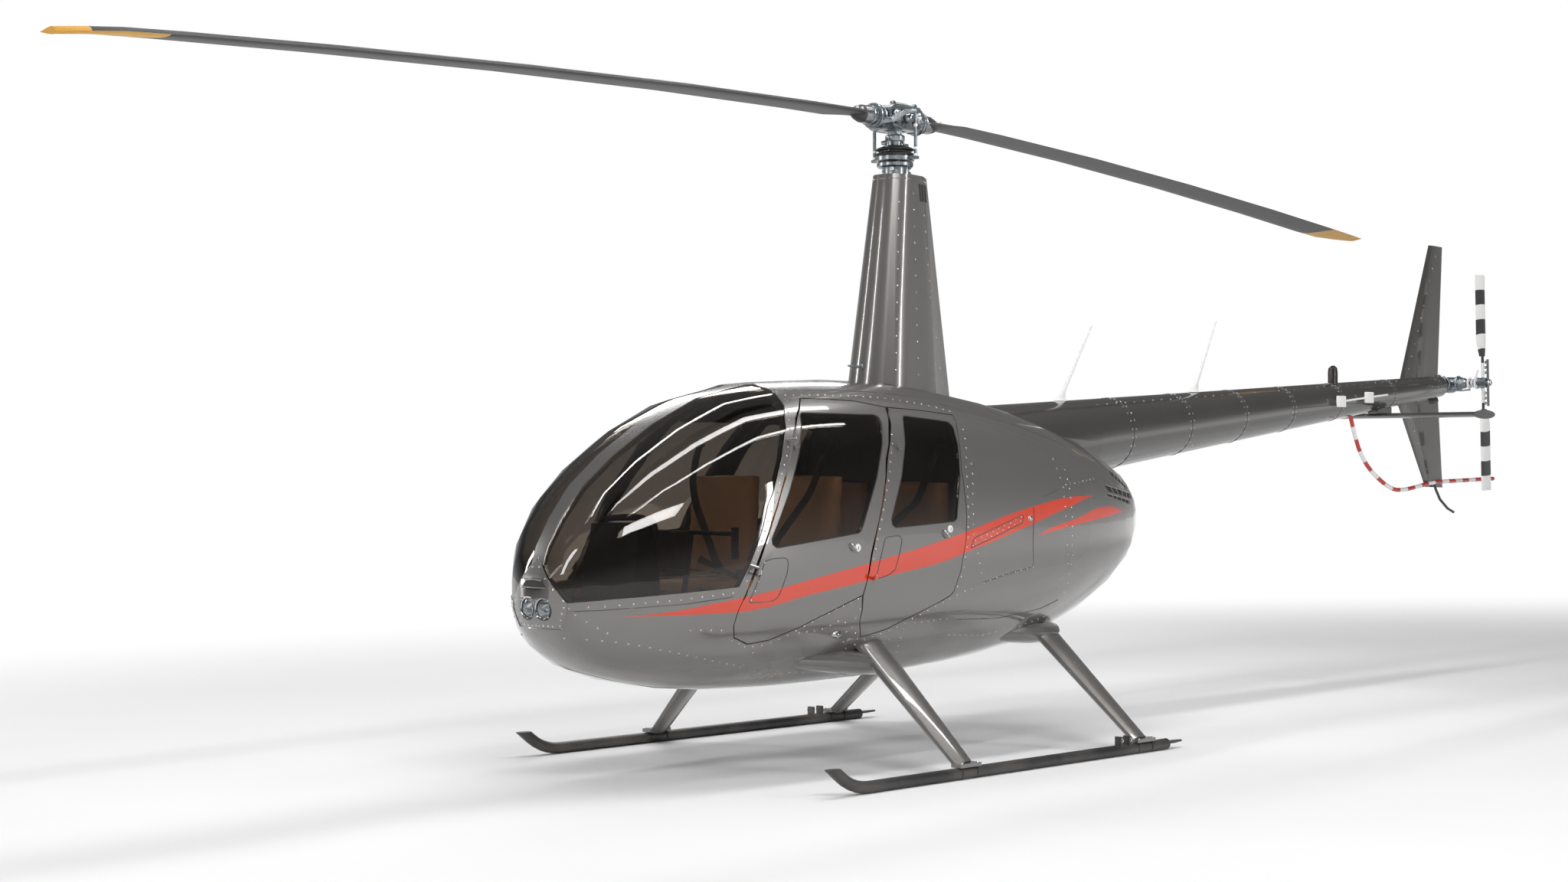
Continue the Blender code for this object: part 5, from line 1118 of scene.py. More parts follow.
class HELICOPTER_OT_nose(bpy.types.Operator):
    """Landing lights in their bezels and the nose's air inlet, whose opening is a black plate on the skin: painted
    shade
    """

    bl_idname = "helicopter.nose"
    bl_label = "Nose lights and inlet"

    def execute(self, context):
        radius = context.scene.helicopter_sizes.lamp_radius
        for side, label in ((1, "left"), (-1, "right")):
            place, out, _ = front_point(side * 0.105, 0.842)
            place = Vector((place.x, side * 0.055, 0.842))
            out = (out + Vector((2.0, 0, 0))).normalized()
            inner = radius * 0.87
            bowl = spun("lamp_bowl_" + label,
                        [(0.002, -0.050), (0.016, -0.048), (0.030, -0.036), (0.040, -0.018),
                         (inner - 0.001, -0.002), (inner, -0.002), (0.041, -0.020),
                         (0.031, -0.039), (0.016, -0.051), (0.002, -0.053)], place, out, 32)
            finished(bowl, "airframe", "bare_metal", "bright")
            bulb = spun("bulb_" + label, [(0.0, -0.016), (0.008, -0.018), (0.011, -0.026), (0.011, -0.040),
                                          (0.0, -0.040)], place, out, 16)
            finished(bulb, "airframe", "clear_lens", "lens")
            lens = spun("lamp_lens_" + label,
                        [(0.0, 0.0050), (0.020, 0.0042), (0.036, 0.0018), (inner - 0.002, -0.001),
                         (inner - 0.002, -0.004), (0.030, -0.0015), (0.0, 0.0015)],
                        place, out, 32)
            finished(lens, "airframe", "clear_lens", "lens", replaces=["landing_light_" + label])
            bezel = spun("lamp_bezel_" + label, [(inner, -0.010), (inner, 0.003), (inner + 0.003, 0.0065),
                                                 (radius, 0.0065), (radius + 0.0035, 0.002),
                                                 (radius + 0.0035, -0.010)],
                         place, out, 40)
            finished(bezel, "airframe", "black_trim", "dark")
            ring = spun("lamp_ring_" + label,
                        [(inner - 0.002, 0.0035), (inner, 0.0062), (inner + 0.002, 0.0072),
                         (inner + 0.0035, 0.0055), (inner, 0.003)], place, out, 40)
            screws = [ring]
            for turn in [math.pi / 4 + k * math.pi / 2 for k in range(4)]:
                across = out.cross(Vector((0, 0, 1))).normalized()
                up = across.cross(out)
                at = place + (across * math.cos(turn) + up * math.sin(turn)) * (radius + 0.0005) + out * 0.006
                screws.append(spun("screw", [(0, 0.002), (0.003, 0.0015), (0.004, 0), (0, 0)], at, out, 10))
            finished(joined("lamp_ring_" + label, screws), "airframe", "bare_metal", "bright")

        # Painted shade: the inlet's opening is a thin black plate laid on the nose.
        inlet = skin_patch("nose_inlet_shade", [(-0.052, 0.975), (0.052, 0.975), (0.082, 0.938), (-0.082, 0.938)],
                           12, 4, front_point, 0.0016, 0.004)
        finished(inlet, "airframe", "black_trim", "rubber")
        lip = [front_point(y, 0.976 - abs(y) * 0.10) for y in (-0.058, -0.04, -0.02, 0, 0.02, 0.04, 0.058)]
        hood = sweep("inlet_lip", [p + n * 0.004 for p, n, _ in lip], 0.0065, 10)
        base = [front_point(y, 0.936 + abs(y) * 0.02) for y in (-0.085, -0.05, 0, 0.05, 0.085)]
        foot = sweep("inlet_foot", [p + n * 0.002 for p, n, _ in base], 0.0035, 8)
        finished(joined("inlet_lips", [hood, foot]), "airframe", "body_paint", "paint")
        return {"FINISHED"}


class HELICOPTER_OT_louvres(bpy.types.Operator):
    """Cooling slots at the tail of the engine cowl, with their bars; each slot is a black plate on the skin,
    painted shade where the cowl opens
    """

    bl_idname = "helicopter.louvres"
    bl_label = "Cowl slots"

    def execute(self, context):
        slots = (((-1.263, 1.440), (-1.448, 1.350), (-1.455, 1.338), (-1.263, 1.415)),
                 ((-1.10, 1.365), (-1.50, 1.308), (-1.49, 1.283), (-1.142, 1.330)),
                 ((-1.113, 1.319), (-1.451, 1.273), (-1.441, 1.253), (-1.133, 1.304)))
        for side, label in ((1, "left"), (-1, "right")):
            def cast(x, z):
                return side_point(x, z, side)
            dark, bars = [], []
            for k, slot in enumerate(slots):
                # Painted shade: a thin black plate lies on the skin where the slot opens.
                dark.append(skin_patch(f"slot_{k}", slot, 14, 2, cast, 0.0014, 0.004))
                a, b, c, d = [Vector(corner) for corner in slot]
                for share in (0.17, 0.36, 0.55, 0.74, 0.92):
                    top, foot = cast(*a.lerp(b, share)), cast(*d.lerp(c, share))
                    bars.append(sweep("bar", [top[0] + top[1] * 0.004, foot[0] + foot[1] * 0.002], 0.0032, 8))
                edge = [cast(*a.lerp(b, share / 12)) for share in range(13)]
                bars.append(sweep("hood", [p + n * 0.003 for p, n, _ in edge], 0.0042, 8))
            finished(joined("cowl_slots_" + label, dark), "airframe", "black_trim", "rubber")
            finished(joined("cowl_bars_" + label, bars), "airframe", "body_paint", "paint")
        return {"FINISHED"}


class HELICOPTER_OT_blades(bpy.types.Operator):
    """Main and tail blades in their warning colours, and the banded tail guard"""

    bl_idname = "helicopter.blades"
    bl_label = "Blades and guard"

    def execute(self, context):
        for node in ("main_blade_a", "main_blade_b"):
            piece = smooth(merged_copy(node + "_skin", node), 30)
            finished(piece, "main_rotor", "blade_paint", "blade", "blade_under", "metal", replaces=[node])
            for face in piece.data.polygons:
                out = (face.center - ROTOR_AXIS).to_2d().length
                if out < GRIP_END or face.center.z < ROTOR_AXIS.z - 0.1 and out < 1.0:
                    face.material_index = 2
                elif face.normal.z < 0:
                    face.material_index = 1
        for node in ("tail_blade_a", "tail_blade_b"):
            piece = smooth(merged_copy(node + "_skin", node), 30)
            finished(piece, "tail_rotor", "dark_paint", "tail_bands", replaces=[node])
        piece = smooth(merged_copy("guard_bar", "tail_rotor_guard"), 40)
        route = [Vector((x + MAST_X, 0.0, z)) for x, z in (
            (-4.381, 1.790), (-4.485, 1.566), (-4.632, 1.416), (-4.838, 1.306), (-4.990, 1.284),
                                                           (-5.224, 1.310),
            (-5.422, 1.331), (-5.828, 1.341), (-6.206, 1.348))]
        finished(piece, "airframe", "guard_paint", "guard", "dark", replaces=["tail_rotor_guard"])
        along = piece.data.attributes.new("along", "FLOAT", "POINT")
        gaps = {}
        for vert in piece.data.vertices:
            best, at = (9.0, 0.0), 0.0
            for a, b in zip(route, route[1:]):
                way = b - a
                share = max(0.0, min(1.0, (vert.co - a).dot(way) / way.length_squared))
                gap = (vert.co - a - way * share).xz.length
                best = min(best, (gap, at + way.length * share))
                at += way.length
            along.data[vert.index].value = best[1]
            gaps[vert.index] = best[0]
        for face in piece.data.polygons:
            if max(gaps[i] for i in face.vertices) > GUARD_REACH:
                face.material_index = 1
        return {"FINISHED"}


def rotor(x, y, z):
    """A place given in the main rotor's own axes, at its rest turn."""
    turn = Matrix.Rotation(ROTOR_TURN, 3, "Z")
    return turn @ Vector((x, y, 0)) + Vector((ROTOR_AXIS.x, 0, z))


class HELICOPTER_OT_rotor_head(bpy.types.Operator):
    """Bosses, bolts, rod ends, rings and collars of the main rotor head"""

    bl_idname = "helicopter.rotor_head"
    bl_label = "Rotor head"

    def execute(self, context):
        turned = Matrix.Rotation(ROTOR_TURN, 3, "Z")
        across, ahead = turned @ Vector((0, 1, 0)), turned @ Vector((1, 0, 0))
        metal, bright, black = [], [], []
        for side in (1, -1):
            for x, size in ((0.0, 0.017), (0.098, 0.021), (-0.098, 0.021)):
                metal.append(spun("boss",
                                  [(0, 0.010), (size * 1.5, 0.010), (size * 1.75, 0.004), (size * 1.8, 0),
                                   (0, 0)], rotor(x, side * 0.094, HUB_Z), across * side, 20))
                bright.append(bolt("hub_bolt", rotor(x, side * 0.104, HUB_Z), across * side, size, 0.013))
            for x, z, r in ((0.046, 3.325, 0.013), (-0.046, 3.272, 0.012), (0.05, 3.27, 0.012),
                            (-0.046, 3.327, 0.010)):
                # Painted shade: a thin black disc inside each port's rim stands for the opening.
                black.append(spun("port", [(0, 0.0008), (r * 0.93, 0.0008), (r, 0), (0, 0)],
                                  rotor(x, side * 0.0822, z), across * side, 20))
                metal.append(spun("port_rim",
                                  [(r, 0), (r, 0.003), (r + 0.0035, 0.003), (r + 0.005, 0), (r, 0)],
                                  rotor(x, side * 0.0822, z), across * side, 20))
            metal.append(sweep("hub_rib",
                               [rotor(-0.128, side * 0.083, 3.255), rotor(-0.05, side * 0.086, 3.238),
                                rotor(0.05, side * 0.086, 3.238), rotor(0.128, side * 0.083, 3.255)],
                               0.006, 8))
            metal.append(sweep("hub_rail",
                               [rotor(-0.11, side * 0.080, 3.356), rotor(0.0, side * 0.083, 3.360),
                                rotor(0.11, side * 0.080, 3.356)], 0.006, 8))
        bright.append(sweep("top_bar",
                            [rotor(-0.105, 0.045, 3.366), rotor(-0.02, 0.05, 3.379),
                             rotor(0.08, 0.05, 3.379)],
                            0.0065, 10))
        for x in (-0.105, 0.08):
            metal.append(spun("bar_eye",
                              [(0, 0.011), (0.012, 0.011), (0.014, 0.006), (0.014, -0.006), (0.012, -0.011),
                               (0, -0.011)], rotor(x, 0.048, 3.370), across, 16))
        for end in (1, -1):
            for at, r in ((0.146, 0.062), (0.187, 0.066), (0.228, 0.052)):
                middle = rotor(at * end, 0, GRIP_Z)
                metal.append(spun("grip_ring", band_profile(r, 0.012, 0.006, 0.003), middle, ahead, 28))
            for turn in around(8):
                spot = rotor(0.151 * end, 0.055 * math.cos(turn), GRIP_Z + 0.055 * math.sin(turn))
                bright.append(spun("grip_bolt", [(0, 0.006), (0.005, 0.006), (0.006, 0), (0, 0)], spot,
                                   -ahead * end, 6))
            for x in (0.285, 0.325, 0.365):
                for y in (-0.030, 0.035):
                    spot = rotor(x * end, y, 3.302 + (0.012 if end > 0 else 0.004))
                    bright.append(spun("root_bolt",
                                       [(0, 0.012), (0.007, 0.012), (0.008, -0.004), (0, -0.004)], spot,
                                       (0, 0, 1), 6))
            reach_y = 0.135 * end
            for z, r in ((3.100, 0.012), (3.255, 0.012)):
                bright.append(spun("rod_end",
                                   [(0, r), (r * 0.7, r * 0.7), (r, 0), (r * 0.7, -r * 0.7), (0, -r)],
                                   rotor(0, reach_y, z), ahead, 16))
            bright.append(spun("jam_nut", [(0.0, 0.006), (0.0125, 0.006), (0.0125, -0.006), (0, -0.006)],
                               rotor(0, reach_y, 3.135), (0, 0, 1), 6))
            metal.append(sweep("scissor", [rotor(0.075 * end, 0.02, 3.128), rotor(0.092 * end, 0.0, 3.165),
                                           rotor(0.052 * end, 0.0, 3.196)], 0.0075, 8))
            metal.append(spun("scissor_eye",
                              [(0, 0.014), (0.011, 0.014), (0.012, 0.008), (0.012, -0.008), (0.011, -0.014),
                               (0, -0.014)], rotor(0.092 * end, 0.0, 3.165), across, 16))
        centre = (ROTOR_AXIS.x, 0, 0)
        metal.append(spun("shaft_collar", [(0.0366, 3.180), (0.050, 3.182), (0.052, 3.188), (0.052, 3.206),
                                           (0.048, 3.212), (0.0366, 3.214)], centre, (0, 0, 1), 32))
        metal.append(spun("shaft_nut", [(0.0366, 3.220), (0.043, 3.220), (0.043, 3.236), (0.0366, 3.236)],
                          centre,
                          (0, 0, 1), 6))
        metal.append(spun("swash_bright", [(0.098, 3.076), (0.1015, 3.078), (0.1020, 3.098), (0.098, 3.100)],
                          centre,
                          (0, 0, 1), 48))
        black.append(spun("disc_upper", [(0.040, 3.158), (0.060, 3.156), (0.095, 3.142), (0.1005, 3.137),
                                         (0.1005, 3.133), (0.094, 3.129), (0.040, 3.129)], centre, (0, 0, 1),
                          48))
        black.append(spun("disc_lower",
                          [(0.060, 3.127), (0.080, 3.123), (0.108, 3.112), (0.1095, 3.107), (0.108, 3.1025),
                           (0.060, 3.1025)], centre, (0, 0, 1), 48))
        finished(joined("head_machined", metal), "main_rotor", "bare_metal", "metal")
        finished(joined("head_bolts", bright), "main_rotor", "bare_metal")
        finished(joined("head_black", black), "main_rotor", "black_trim", "rubber")
        still = []
        for turn in around(9, 0.2):
            x, y = 0.088 * math.cos(turn), 0.088 * math.sin(turn)
            still.append(spun("swash_bolt",
                              [(0, 0.006), (0.0075, 0.006), (0.008, -0.008), (0.005, -0.020), (0, -0.020)],
                              (ROTOR_AXIS.x + x, y, 3.052), (0, 0, -1), 8))
        for turn in around(3, math.pi / 6):
            x, y = 0.080 * math.cos(turn), 0.080 * math.sin(turn)
            for z in (2.98, 3.028):
                still.append(spun("rod_nut", [(0, 0.006), (0.0125, 0.006), (0.0125, -0.006), (0, -0.006)],
                                  (ROTOR_AXIS.x + x, y, z), (0, 0, 1), 6))
        finished(joined("swash_fittings", still), "airframe", "bare_metal", "bright")
        return {"FINISHED"}


# Cushions: how far inside the solid they start, furthest growth, half width of a sewn line, frames
PAD_MARGIN, PAD_GROWTH, SEWN_HALF, PAD_FRAMES = 0.011, 0.022, 0.006, 20


def inflated(node):
    """A cushion blown up inside its CAD solid, with sewn channels held down."""
    low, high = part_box(node)
    piece = merged_copy(node + "_pad", node)
    middle, half = (low + high) / 2, (high - low) / 2
    piece.data.transform(Matrix.Translation(middle)
                         @ Matrix.Diagonal([(h - PAD_MARGIN) / h for h in half] + [1.0])
                         @ Matrix.Translation(-middle))
    take(piece)
    mesher = piece.modifiers.new("even", "REMESH")
    mesher.mode, mesher.voxel_size = "VOXEL", 0.0105
    bpy.ops.object.modifier_apply(modifier=mesher.name)
    back = "back" in node
    up = 2 if back else 0
    held = piece.vertex_groups.new(name="sewn")
    for vert in piece.data.vertices:
        across = abs(vert.co.y - middle.y)
        along = (vert.co[up] - low[up]) / (high[up] - low[up])
        side_gap = abs(across - half.y * 0.62)
        cross_gap = min(abs(along - share) for share in ((0.30, 0.66) if back else (0.42, 0.99)))
        near = (side_gap < SEWN_HALF
                or (across < half.y * 0.62 and cross_gap < SEWN_HALF / (high[up] - low[up])))
        held.add([vert.index], 1.0 if near else 0.0, "REPLACE")
    start = [vert.co.copy() for vert in piece.data.vertices]
    cloth = piece.modifiers.new("cloth", "CLOTH")
    cloth.settings.use_pressure = True
    cloth.settings.uniform_pressure_force = 4.0
    cloth.settings.effector_weights.gravity = 0.0
    cloth.settings.vertex_group_mass = "sewn"
    cloth.settings.quality = 4
    cloth.settings.bending_stiffness = 1.5
    for frame_number in range(1, PAD_FRAMES + 1):
        bpy.context.scene.frame_set(frame_number)
    take(piece)
    bpy.ops.object.modifier_apply(modifier=cloth.name)
    for vert, was in zip(piece.data.vertices, start):
        moved = vert.co - was
        if moved.length > PAD_GROWTH:
            vert.co = was + moved * (PAD_GROWTH / moved.length)
    bpy.context.scene.frame_set(1)
    low, high = low - Vector((0.004, 0.004, 0.0)), high + Vector((0.004, 0.004, 0.006))
    for vert in piece.data.vertices:
        vert.co = Vector([min(max(c, a), b) for c, a, b in zip(vert.co, low, high)])
    finer = piece.modifiers.new("finer", "SUBSURF")
    finer.levels = finer.render_levels = 1
    take(piece)
    bpy.ops.object.modifier_apply(modifier=finer.name)
    bpy.ops.object.shade_smooth()
    piece.vertex_groups.clear()
    return piece


def mirrored(piece, name):
    """The same piece on the other side."""
    other = piece.copy()
    other.data = piece.data.copy()
    other.name = other.data.name = name
    bpy.context.scene.collection.objects.link(other)
    other.data.transform(Matrix.Diagonal((1, -1, 1, 1)))
    other.data.flip_normals()
    return other


class HELICOPTER_OT_seats(bpy.types.Operator):
    """Stuffed leather seats with sewn channels"""

    bl_idname = "helicopter.seats"
    bl_label = "Seats"

    def execute(self, context):
        for part in ("seat_cushion_front", "seat_cushion_rear", "seat_back_front", "seat_back_rear"):
            left = inflated(part + "_left")
            left.data.materials.clear()
            right = mirrored(left, part + "_right_pad")
            for piece, node in ((left, part + "_left"), (right, part + "_right")):
                finished(piece, "airframe", "tan_leather", "leather", replaces=[node])
        return {"FINISHED"}


def strap(name, points, width, thickness=0.0022, flat=(0, 1, 0)):
    """A flat belt along points; flat is the way its width lies."""
    points = softened([Vector(p) for p in points], 5)
    verts, faces = [], []
    for k, point in enumerate(points):
        way = (points[min(k + 1, len(points) - 1)] - points[max(k - 1, 0)]).normalized()
        wide = (Vector(flat) - way * Vector(flat).dot(way)).normalized()
        out = way.cross(wide)
        for a, b in ((-1, -1), (1, -1), (1, 1), (-1, 1)):
            verts.append(point + wide * (a * width / 2) + out * (b * thickness / 2))
    count = len(points)
    for k in range(count - 1):
        for n in range(4):
            a, b = k * 4 + n, k * 4 + (n + 1) % 4
            faces.append((a, b, b + 4, a + 4))
    faces += [(3, 2, 1, 0), tuple((count - 1) * 4 + n for n in range(4))]
    return smooth(faced_out(new_piece(name, verts, faces)), 40)


class HELICOPTER_OT_belts(bpy.types.Operator):
    """Shoulder and lap belts with their buckles"""

    bl_idname = "helicopter.belts"
    bl_label = "Seat belts"

    def execute(self, context):
        width = context.scene.helicopter_sizes.belt_width
        for side, label in ((1, "left"), (-1, "right")):
            for where, x, top in (("front", 1.10, 1.44), ("rear", 0.32, 1.40)):
                seat = x + MAST_X
                belts = [
                    strap("shoulder",
                          [(seat - 0.10, side * 0.47, 1.60), (seat - 0.035, side * 0.44, top + 0.035),
                           (seat + 0.005, side * 0.40, top - 0.10), (seat + 0.045, side * 0.30, 1.20),
                           (seat + 0.085, side * 0.16, 1.01), (seat + 0.13, side * 0.075, 0.955)], width),
                    strap("lap", [(seat + 0.13, side * 0.505, 0.945), (seat + 0.20, side * 0.42, 0.968),
                                  (seat + 0.22, side * 0.28, 0.970), (seat + 0.20, side * 0.14, 0.966),
                                  (seat + 0.13, side * 0.062, 0.950)], width, flat=(1, 0, 0.2))]
                finished(joined(f"belt_{where}_{label}", belts), "airframe", "black_trim", "webbing")
                at = Vector((seat + 0.135, side * 0.085, 0.962))
                parts = [block("buckle", at - Vector((0.030, 0.026, 0.010)),
                               at + Vector((0.030, 0.026, 0.010)), 0.004)]
                parts.append(block("anchor", (seat - 0.112, side * 0.47 - 0.024, 1.585),
                                   (seat - 0.088, side * 0.47 + 0.024, 1.625), 0.004))
                finished(joined(f"buckle_{where}_{label}", parts), "airframe", "black_trim", "trim")
                tongue = block("tongue", at + Vector((-0.006, -0.017, 0.0102)),
                               at + Vector((0.026, 0.017, 0.013)), 0.001)
                finished(tongue, "airframe", "bare_metal", "bright")
        return {"FINISHED"}


class HELICOPTER_OT_cockpit(bpy.types.Operator):
    """Instruments, switches and the binnacle's hood"""

    bl_idname = "helicopter.cockpit"
    bl_label = "Cockpit"

    def execute(self, context):
        def panel(y, z):
            share = (z - 0.80) / 0.42
            return Vector((1.84 + 0.06 * share + MAST_X, y, z)), Vector((-0.99, 0, 0.141)).normalized()
        rims, dials, marks = [], [], []
        places = [(-0.105, 1.155, 0.040), (0.0, 1.155, 0.040), (0.105, 1.155, 0.040), (-0.105, 1.05, 0.040),
                  (0.0, 1.05, 0.040), (0.105, 1.05, 0.040), (-0.11, 0.96, 0.024), (-0.037, 0.96, 0.024),
                  (0.037, 0.96, 0.024), (0.11, 0.96, 0.024)]
        for y, z, r in places:
            at, out = panel(y, z)
            rims.append(spun("rim", [(r * 0.86, 0.0), (r * 0.86, 0.005), (r * 0.94, 0.008), (r, 0.006),
                                     (r, 0.0),
                                     (r * 0.86, 0.0)], at, out, 28))
            dials.append(spun("dial", [(0, 0.0018), (r * 0.86, 0.0018), (r * 0.86, 0), (0, 0)], at, out, 24))
            up = Vector((0, 0, 1))
            wide = out.cross(up).normalized()
            for k in range(9):
                turn = math.radians(-130 + 32 * k)
                way = up * math.cos(turn) + wide * math.sin(turn)
                marks.append(sweep("mark",
                                   [at + out * 0.0022 + way * r * 0.66, at + out * 0.0022 + way * r * 0.80],
                                   0.0009, 6))
            way = up * math.cos(y * 40) + wide * math.sin(y * 40)
            marks.append(sweep("hand", [at + out * 0.003, at + out * 0.003 + way * r * 0.62], 0.0012, 6))
        for k in range(7):
            at, out = panel(-0.12 + 0.04 * k, 0.90)
            rims.append(spun("knob", [(0, 0.014), (0.006, 0.014), (0.0075, 0.010), (0.0075, 0), (0, 0)], at,
                             out, 12))
        finished(joined("instrument_rims", rims), "airframe", "black_trim", "trim")
        finished(joined("instrument_dials", dials), "airframe", "dark_lens", "lamp")
        finished(joined("instrument_marks", marks), "airframe", "white_plastic", "white")
        hood = sweep("hood",
                     softened([Vector((1.90 + MAST_X, -0.185, 1.14)), Vector((1.91 + MAST_X, -0.17, 1.225)),
                               Vector((1.91 + MAST_X, 0.0, 1.245)), Vector((1.91 + MAST_X, 0.17, 1.225)),
                               Vector((1.90 + MAST_X, 0.185, 1.14))], 6), 0.016, 12)
        finished(hood, "airframe", "black_trim", "trim")
        radio = block("radio_stack", (1.605 + MAST_X, -0.10, 0.62), (1.6197 + MAST_X, 0.10, 0.84), 0.003)
        finished(radio, "airframe", "black_trim", "dark")
        return {"FINISHED"}


class HELICOPTER_OT_fittings(bpy.types.Operator):
    """Locks, handles, hinge pads, lamps, pitot tube, side aerials and vents"""

    bl_idname = "helicopter.fittings"
    bl_label = "Outside fittings"

    def execute(self, context):
        for side, label in ((1, "left"), (-1, "right")):
            for x, z, rise in ((1.004, 1.088, 0.02), (0.335, 1.162, -0.008)):
                at, out, node = side_point(x, z, side)
                lock = spun("lock", [(0, 0.006), (0.015, 0.0055), (0.0185, 0.003), (0.0195, 0), (0, 0)], at,
                            out, 24)
                finished(lock, NODE_BODY[node], "white_plastic", "white")
                # Painted shade: a dark block on the lock's face stands for the key slot.
                slot = block("keyhole_shade", at + out * 0.006 - Vector((0.002, 0.001, 0.007)),
                             at + out * 0.006 + Vector((0.002, 0.001, 0.007)), 0.0008, 1)
                finished(slot, NODE_BODY[node], "black_trim", "dark")
                grip, out_b, node = side_point(x + 0.05, z + rise, side)
                handle = sweep("door_handle", softened([grip + out_b * 0.002, grip + out_b * 0.016
                                                        + Vector((-0.004, 0, -0.008)),
                                                        grip + out_b * 0.018 + Vector((-0.022, 0, -0.030)),
                                                        grip + out_b * 0.012 + Vector((-0.030, 0, -0.036))],
                                                       4),
                               0.0048, 10)
                finished(handle, NODE_BODY[node], "bare_metal", "bright")
            for x, z, aft in ((1.346, 1.587, 0.036), (1.660, 1.002, 0.036), (0.657, 1.580, 0.034),
                              (0.908, 0.954, 0.034)):
                found = side_point(x - aft, z - 0.01, side)
                if found:
                    at, out, node = found
                    pad = spun("hinge_pad", [(0, 0.003), (0.011, 0.003), (0.013, 0.001), (0.013, 0), (0, 0)],
                               at, out, 20)
                    screws = [coated(pad, "paint")]
                    screws += [bolt("hinge_bolt", at + out * 0.003 + Vector((0, 0, dz)), out, 0.003, 0.002)
                               for dz in (-0.006, 0.006)]
                    finished(joined("hinge_pad", screws), NODE_BODY[node], "body_paint")
            at, out, node = side_point(1.07, 0.673, side)
            drop = spun("nav_light", [(0, 0.018), (0.010, 0.016), (0.017, 0.009), (0.020, 0), (0, 0)], at,
                        out, 20)
            drop.data.transform(Matrix.Translation(at) @ Matrix.Diagonal((1.7, 1, 0.9,
                                                                          1)) @ Matrix.Translation(-at))
            finished(drop, NODE_BODY[node], "clear_lens", "bright")
            at, out, node = side_point(-0.312, 1.201, side)
            finished(bolt("latch", at, out, 0.012, 0.006), NODE_BODY[node], "bare_metal")
            self.cone_side(side, label)
        self.fairing()
        return {"FINISHED"}

    def cone_side(self, side, label):
        """Aerial bar with its two paddles."""
        a, b = cone_point(-3.99, side * 1.50)[0], cone_point(-4.62, side * 1.50)[0]
        gap = Vector((0, side * 0.032, 0))
        bar = sweep("bar", [a + gap, b + gap], 0.0065, 12)
        parts = [bar]
        for share in (0.06, 0.62):
            foot = a.lerp(b, share)
            parts.append(sweep("foot", [foot - Vector((0, side * 0.002, 0)), foot + gap], 0.009, 12))
            plate = block("paddle", foot + gap - Vector((0.052, 0.006, 0.036)),
                          foot + gap + Vector((0.052, 0.006, 0.036)),
                          0.0055, 3)
            parts.append(plate)
        finished(joined("side_aerial_" + label, parts), "airframe", "white_plastic", "white")

    def fairing(self):
        """Pitot tube and louvres of the mast fairing, tail lamp, aerial feet and the roof's vent; the louvres are
        black strips, painted shade where the fairing opens.
        """
        front = SKIN.hit((MAST_X + 1.2, 0.012, 1.988), (-1, 0, 0), ["mast_fairing"])[0]
        tube = sweep("pitot", [front - Vector((0.004, 0, 0)), front + Vector((0.045, 0.004, 0.0)),
                               front + Vector((0.105, 0.005, 0.004))], 0.0062, 12, radii=[1.5, 1.0, 0.8])
        collar = spun("pitot_collar", [(0, 0.008), (0.011, 0.008), (0.015, 0.0), (0, 0.0)], front, (1, 0, 0),
                      20)
        finished(joined("pitot_tube", [tube, collar]), "airframe", "bare_metal", "metal")
        # Painted shade: each louvre is a black strip laid on the fairing where it opens.
        slots = []
        for side in (1, -1):
            for k in range(4):
                x = -0.055 - 0.026 * k
                top, low = node_point("mast_fairing", x, 2.955, side), node_point("mast_fairing", x - 0.006,
                                                                                  2.865, side)
                if top and low:
                    slots.append(sweep("slot", [top[0], low[0]], 0.0055, 8))
        finished(joined("fairing_slot_shade", slots), "airframe", "black_trim", "rubber")
        hoop = [SKIN.hit((MAST_X - 0.03 + 0.6 * math.cos(t), 0.6 * math.sin(t), 2.975),
                         (-math.cos(t), -math.sin(t), 0), ["mast_fairing"]) for t in around(60)]
        finished(sweep("fairing_rim", [place for place, _, _ in hoop], 0.0028, 8, True), "airframe",
                 "body_paint",
                 "paint")
        end = cone_point(-5.46, math.pi)[0]
        lamp = spun("tail_lamp", [(0, 0.030), (0.013, 0.026), (0.020, 0.015), (0.022, 0.0), (0.022, -0.070),
                                  (0.012, -0.095), (0, -0.10)], end + Vector((0, 0, -0.020)), (-1, 0, 0.05),
                    24)
        finished(lamp, "airframe", "dark_paint", "dark")
        for x0, x1 in ((-1.653, -1.300), (-2.883, -2.593)):
            x = (x0 + x1) / 2 + (0.13 if x0 > -2 else 0.10)
            place, out = cone_point(x, 0.0)
            foot = spun("aerial_foot", [(0, 0.012), (0.020, 0.011), (0.040, 0.004), (0.046, 0), (0, 0)],
                        place, out, 24)
            foot.data.transform(Matrix.Translation(place) @ Matrix.Diagonal((1.7, 0.55, 1,
                                                                             1)) @ Matrix.Translation(-place))
            finished(foot, "airframe", "white_plastic", "white")
        vent = SKIN.hit((MAST_X - 0.42, 0, 3.0), (0, 0, -1), ["roof"])[0]
        rails = [sweep("vent_rail", [vent + Vector((0.03, y, 0.010)), vent + Vector((-0.08, y, -0.004))],
                       0.010, 10)
                 for y in (-0.05, -0.017, 0.017, 0.05)]
        finished(joined("roof_vent", rails), "airframe", "black_trim", "rubber")


